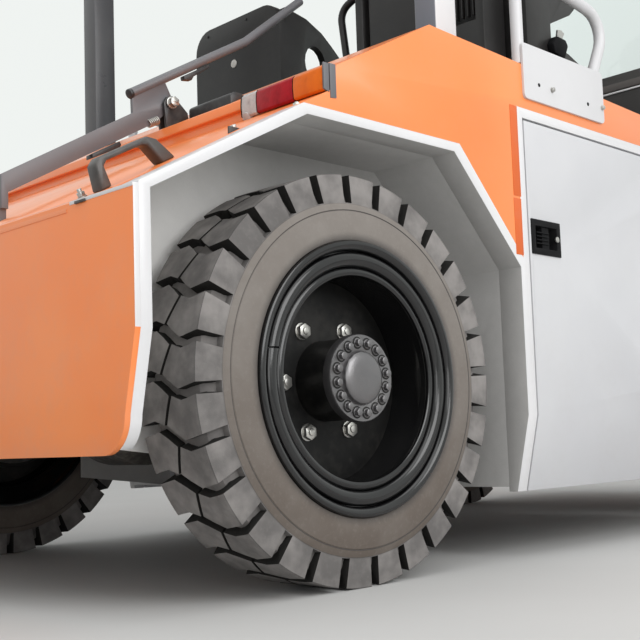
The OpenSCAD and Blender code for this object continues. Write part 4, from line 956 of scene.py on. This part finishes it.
def rubber(name, centre, radius, shoulder, foot, bead):
    """Old rubber: painted near black in the grooves and deep on the lugs' sides, as painted shade;
    taupe where it meets the road, with the lug faces painted darker than the dusty shoulders, which
    are palest, as painted shade; paler up the sidewall, a painted highlight from the light above,
    with dusty clouds, and painted shade in the seam line and near the rim. The tread's radius, the
    radius of the shoulder's foot and the rim's are in millimetres."""
    coat = Coat(name, Specular_IOR_Level=0.35)
    from_axle = coat.place.node("VectorMath", {"operation": "SUBTRACT"}, {0: coat.place, 1: centre})
    in_plane = from_axle.node("VectorMath", {"operation": "MULTIPLY"}, {0: from_axle, 1: (1, 0, 1)})
    out = in_plane.node("VectorMath", {"operation": "LENGTH"}, {0: in_plane}, 1)
    beside = from_axle.part(1).maths("ABSOLUTE")
    smear = (coat.mottle(6, 4) * 0.6 + coat.mottle(24, 3) * 0.4).between(0.35, 0.68)
    scuff = coat.mottle(150, 2).between(0.5, 0.8)
    groove = coat.place.node("Attribute", {"attribute_name": "groove"}, {}, 2)
    # The lugs' sides are painted darker below their tops: painted shade.
    lug_face = out.between((radius - 13) * mm, (radius - 9) * mm)
    # The lug tops' taupe is dust, painted darker than the shoulders as painted shade.
    top_dust_in_shade = smear.tint((0.064, 0.057, 0.041), (0.102, 0.093, 0.070))
    edge = (beside.between((shoulder - 1.2) * mm, (shoulder + 0.2) * mm)
            * out.between((foot + 1) * mm, (foot + 3) * mm))
    shoulder_dust = smear.tint((0.135, 0.128, 0.124), (0.27, 0.255, 0.245))
    # Near black for the grooves and the deep lug sides: painted shade.
    deep_groove_shade = (0.010, 0.009, 0.008)
    tread_dust_and_shade = edge.tint(lug_face.tint(deep_groove_shade, top_dust_in_shade), shoulder_dust)
    tread = groove.tint(tread_dust_and_shade, deep_groove_shade)
    rim_side = 1 - out.between((foot + 1) * mm, (foot + 2.5) * mm)
    # The sidewall is painted paler towards the top: a painted highlight from the light above.
    painted_top_light = coat.place.part(2).between(0.02, 0.68)
    side_dust_light_shade = (painted_top_light * 0.75 + smear * 0.25).tint(
        (0.122, 0.100, 0.084), (0.225, 0.205, 0.186))
    # A dark line in the sidewall's seam and a darkening near the rim: painted shade.
    seam = (out.between((foot - 12.4) * mm, (foot - 11.6) * mm)
            * (1 - out.between((foot - 10.4) * mm, (foot - 9.6) * mm)))
    bead_shade = (1 - out.between(bead * mm, (bead + 18) * mm)) * 0.55
    side_dust_light_shade = seam.maths("MAXIMUM", seam * 0.75, bead_shade).tint(side_dust_light_shade, (0.045, 0.042, 0.042))
    rubber_dust_and_shade = rim_side.tint(tread, side_dust_light_shade)
    coat.feed("Base Color", (scuff * (1 - groove) * 0.08).tint(rubber_dust_and_shade, (0.34, 0.32, 0.30)))
    coat.feed("Roughness", 0.90 - scuff * 0.10 - rim_side * 0.16)
    coat.relief(coat.mottle(520, 3) * 0.6 + coat.mottle(90, 3) * 0.4, 0.0006)
    return coat


def mirrored(points):
    """A profile's outboard half, closed by its mirror image."""
    return points + [(radius, -out) for radius, out in reversed(points)]


def tyred(end, side, name, wall, steps, radius, shoulder, foot, foot_radius, bead, lugs, first):
    """One tyre of the rear or the front end, with its first lug turned by some radians."""
    node = f"{end}_tyre_{name}"
    centre = middle(node)
    carcass = turned("carcass", mirrored(wall), centre, side, steps)
    tyre = treaded(node + "_lugged", centre, side, radius, shoulder, foot, lugs, first, carcass)
    coat = rubber(f"{end}_rubber_{name}", centre, radius, shoulder, foot_radius, bead)
    fitted(tyre, coat, f"{end}_wheel_{name}", node, smooth=32)


tyre_wall = [
    (198.6, 0), (198.6, 51), (202, 58), (212, 65), (228, 69), (240, 77), (250.6, 82), (251, 86),
    (256, 88), (266, 88.6), (280, 88.2), (292, 86.9), (303.6, 85.0), (305, 83.6), (306.6, 84.6),
    (312, 82.8), (314.4, 82.2), (317.6, 80.6), (320.5, 79.6), (322, 66), (335, 64), (350, 60),
    (356, 50), (357.5, 0)]
for side, name in sides:
    tyred("rear", side, name, tyre_wall, 112, radius=373, shoulder=77.5, foot=79.4,
          foot_radius=317, bead=250, lugs=28, first=0.193)

# Rear rims: pressed steel in gloss black, with a loose side ring, a split lock ring that
# holds it, and a deep barrel with the disc at its bottom.
rim_black = paint("rim_black", (0.003, 0.003, 0.0035), (0.005, 0.005, 0.0055), 0.16, 0.01,
                  Coat_Weight=0.3, Coat_Roughness=0.05)
hub_black = paint("hub_black", (0.006, 0.006, 0.006), (0.011, 0.0105, 0.010), 0.5, 0.05,
                  Specular_IOR_Level=0.25)
rim_ring = [
    (249.8, 80), (249.8, 89), (248, 92), (245, 93), (240.5, 93), (236.5, 91), (233, 87), (231, 82),
    (231, 76), (240, 76.5)]
lock_ring = [
    (229.5, 76), (229.5, 82), (226, 86.5), (220, 88.5), (213, 88), (207, 85.5), (203.5, 81),
    (203, 76), (216, 72)]
barrel = [
    (231, 74), (203, 75), (201, 78), (197, 81), (191.5, 81.5), (187.5, 79.5), (186, 76),
    (186.5, 71), (190, 62), (190, 55), (190, -62), (194, -70), (205, -77), (228, -80), (238, -86),
    (242, -88), (250, -88), (250, -80), (243, -72), (206, -66), (198, -58), (198, 52), (205, 62),
    (213, 68), (230, 71)]
disc = [
    (190.5, -18), (176, -16), (160, -14), (75.4, -14), (75.4, -30), (160, -30), (190.5, -30)]
for side, name in sides:
    centre = middle("rear_tyre_" + name)
    rings = [turned("rim_part", points + points[:1], centre, side)
             for points in (rim_ring, lock_ring, barrel)]
    split_at = centre + Vector((-218 * mm, side * 82 * mm, 48 * mm))
    split = started("cube", "split", size=1, location=split_at)
    split.scale = (0.04, 0.03, 0.0035)
    placed(split)
    applied(rings[1], "BOOLEAN", object=split, operation="DIFFERENCE", solver="EXACT")
    bpy.data.objects.remove(split)
    rim = joined("rear_rim_" + name + "_rings", rings)
    fitted(rim, rim_black, "rear_wheel_" + name, "rear_rim_" + name, smooth=40)
    plate = turned("rear_rim_" + name + "_disc", disc + disc[:1], centre, side)
    fitted(plate, hub_black, "rear_wheel_" + name, slot="black_paint", smooth=40)

# Rear hubs: a black drum and barrel with a ground steel end flange, sixteen small bolts and a
# pressed cap, and the wheel's six zinc-plated nuts on their studs.
ground_steel = paint("ground_steel", (0.20, 0.195, 0.20), (0.10, 0.095, 0.10), 0.32, 0.08, 0.0003,
                     Metallic=0.85)
drum = [
    (0, -95), (148, -95), (150, -93), (150, -48), (148, -46), (130, -46), (130, -33), (128, -31),
    (75, -31), (75, 58), (77, 62), (45, 62), (45, 61), (0, 61)]
flange = [
    (0, 61.5), (77, 61.5), (80, 63), (80, 79), (78.5, 81.5), (52, 81.5), (49, 80.5), (48.5, 82),
    (48, 86), (46.5, 88.5), (40, 91.5), (30, 93), (16, 93.5), (0, 93.5)]


def ringed(part, centre, count, first):
    """Copies of a part round a wheel's axle, the first one turned by some degrees."""
    ring = [copied(part, about(centre, -math.radians(first + i * 360 / count)))
            for i in range(count)]
    bpy.data.objects.remove(part)
    return ring


def off_axle(centre, side, radius, out):
    """A point level with a wheel's axle, in millimetres, and outboard of the wheel's middle."""
    return centre / mm + Vector((radius, side * out, 0))


bolt_circle, nut_circle = 64, 107
for side, name in sides:
    wheel, hub = "rear_wheel_" + name, "rear_hub_" + name
    centre = middle("rear_tyre_" + name)
    outboard = Vector((0, side, 0))
    fitted(turned(hub + "_drum", drum, centre, side, 72), hub_black, wheel, hub)
    small = bolt("flange_bolt", off_axle(centre, side, bolt_circle, 81), outboard, 13)
    recess = rod("recess", off_axle(centre, side, bolt_circle, 81),
                 off_axle(centre, side, bolt_circle, 82.1), 11.5, 20, 0.4)
    fixed(hub + "_recesses", ringed(recess, centre, 16, 8), hub_black, "black_paint", body=wheel)
    cap = turned("cap", flange, centre, side, 72)
    fixed(hub + "_flange", [cap] + ringed(small, centre, 16, 8), ground_steel, "steel", body=wheel)
    washer, hexagon, stud_end = [
        rod("nut", off_axle(centre, side, nut_circle, foot),
            off_axle(centre, side, nut_circle, top), radius, corners, edge)
        for foot, top, radius, corners, edge in (
            (-14.2, -11.8, 16.2, 24, 0.8), (-11.8, -2, 15, 6, 1.6), (-13, 1, 7, 16, 1.2))]
    nut = joined("nut", [washer, hexagon, stud_end])
    fixed(hub + "_nuts", ringed(nut, centre, 6, 2), zinc, "steel", body=wheel)

# Front tyres and wheels: smaller solid tyres with the same tread, on pressed black wheels with
# six nuts and a cap.
front_wall = [
    (127.6, 0), (127.6, 50), (142, 57), (160.6, 60), (160.8, 79), (163, 81), (168, 82.6),
    (176, 83.4), (200, 83.6), (220, 82.6), (233, 80.9), (234.4, 79.6), (236, 80.4), (241, 79.2),
    (246, 77.8), (248.5, 76.8), (249.5, 64), (262, 62), (272, 58), (277, 50), (279, 40), (280, 0)]
for side, name in sides:
    tyred("front", side, name, front_wall, 88, radius=295, shoulder=75, foot=76.8,
          foot_radius=246, bead=160, lugs=22, first=0.087)
    dressed("front_wheel_" + name, rim_black, 2.0)
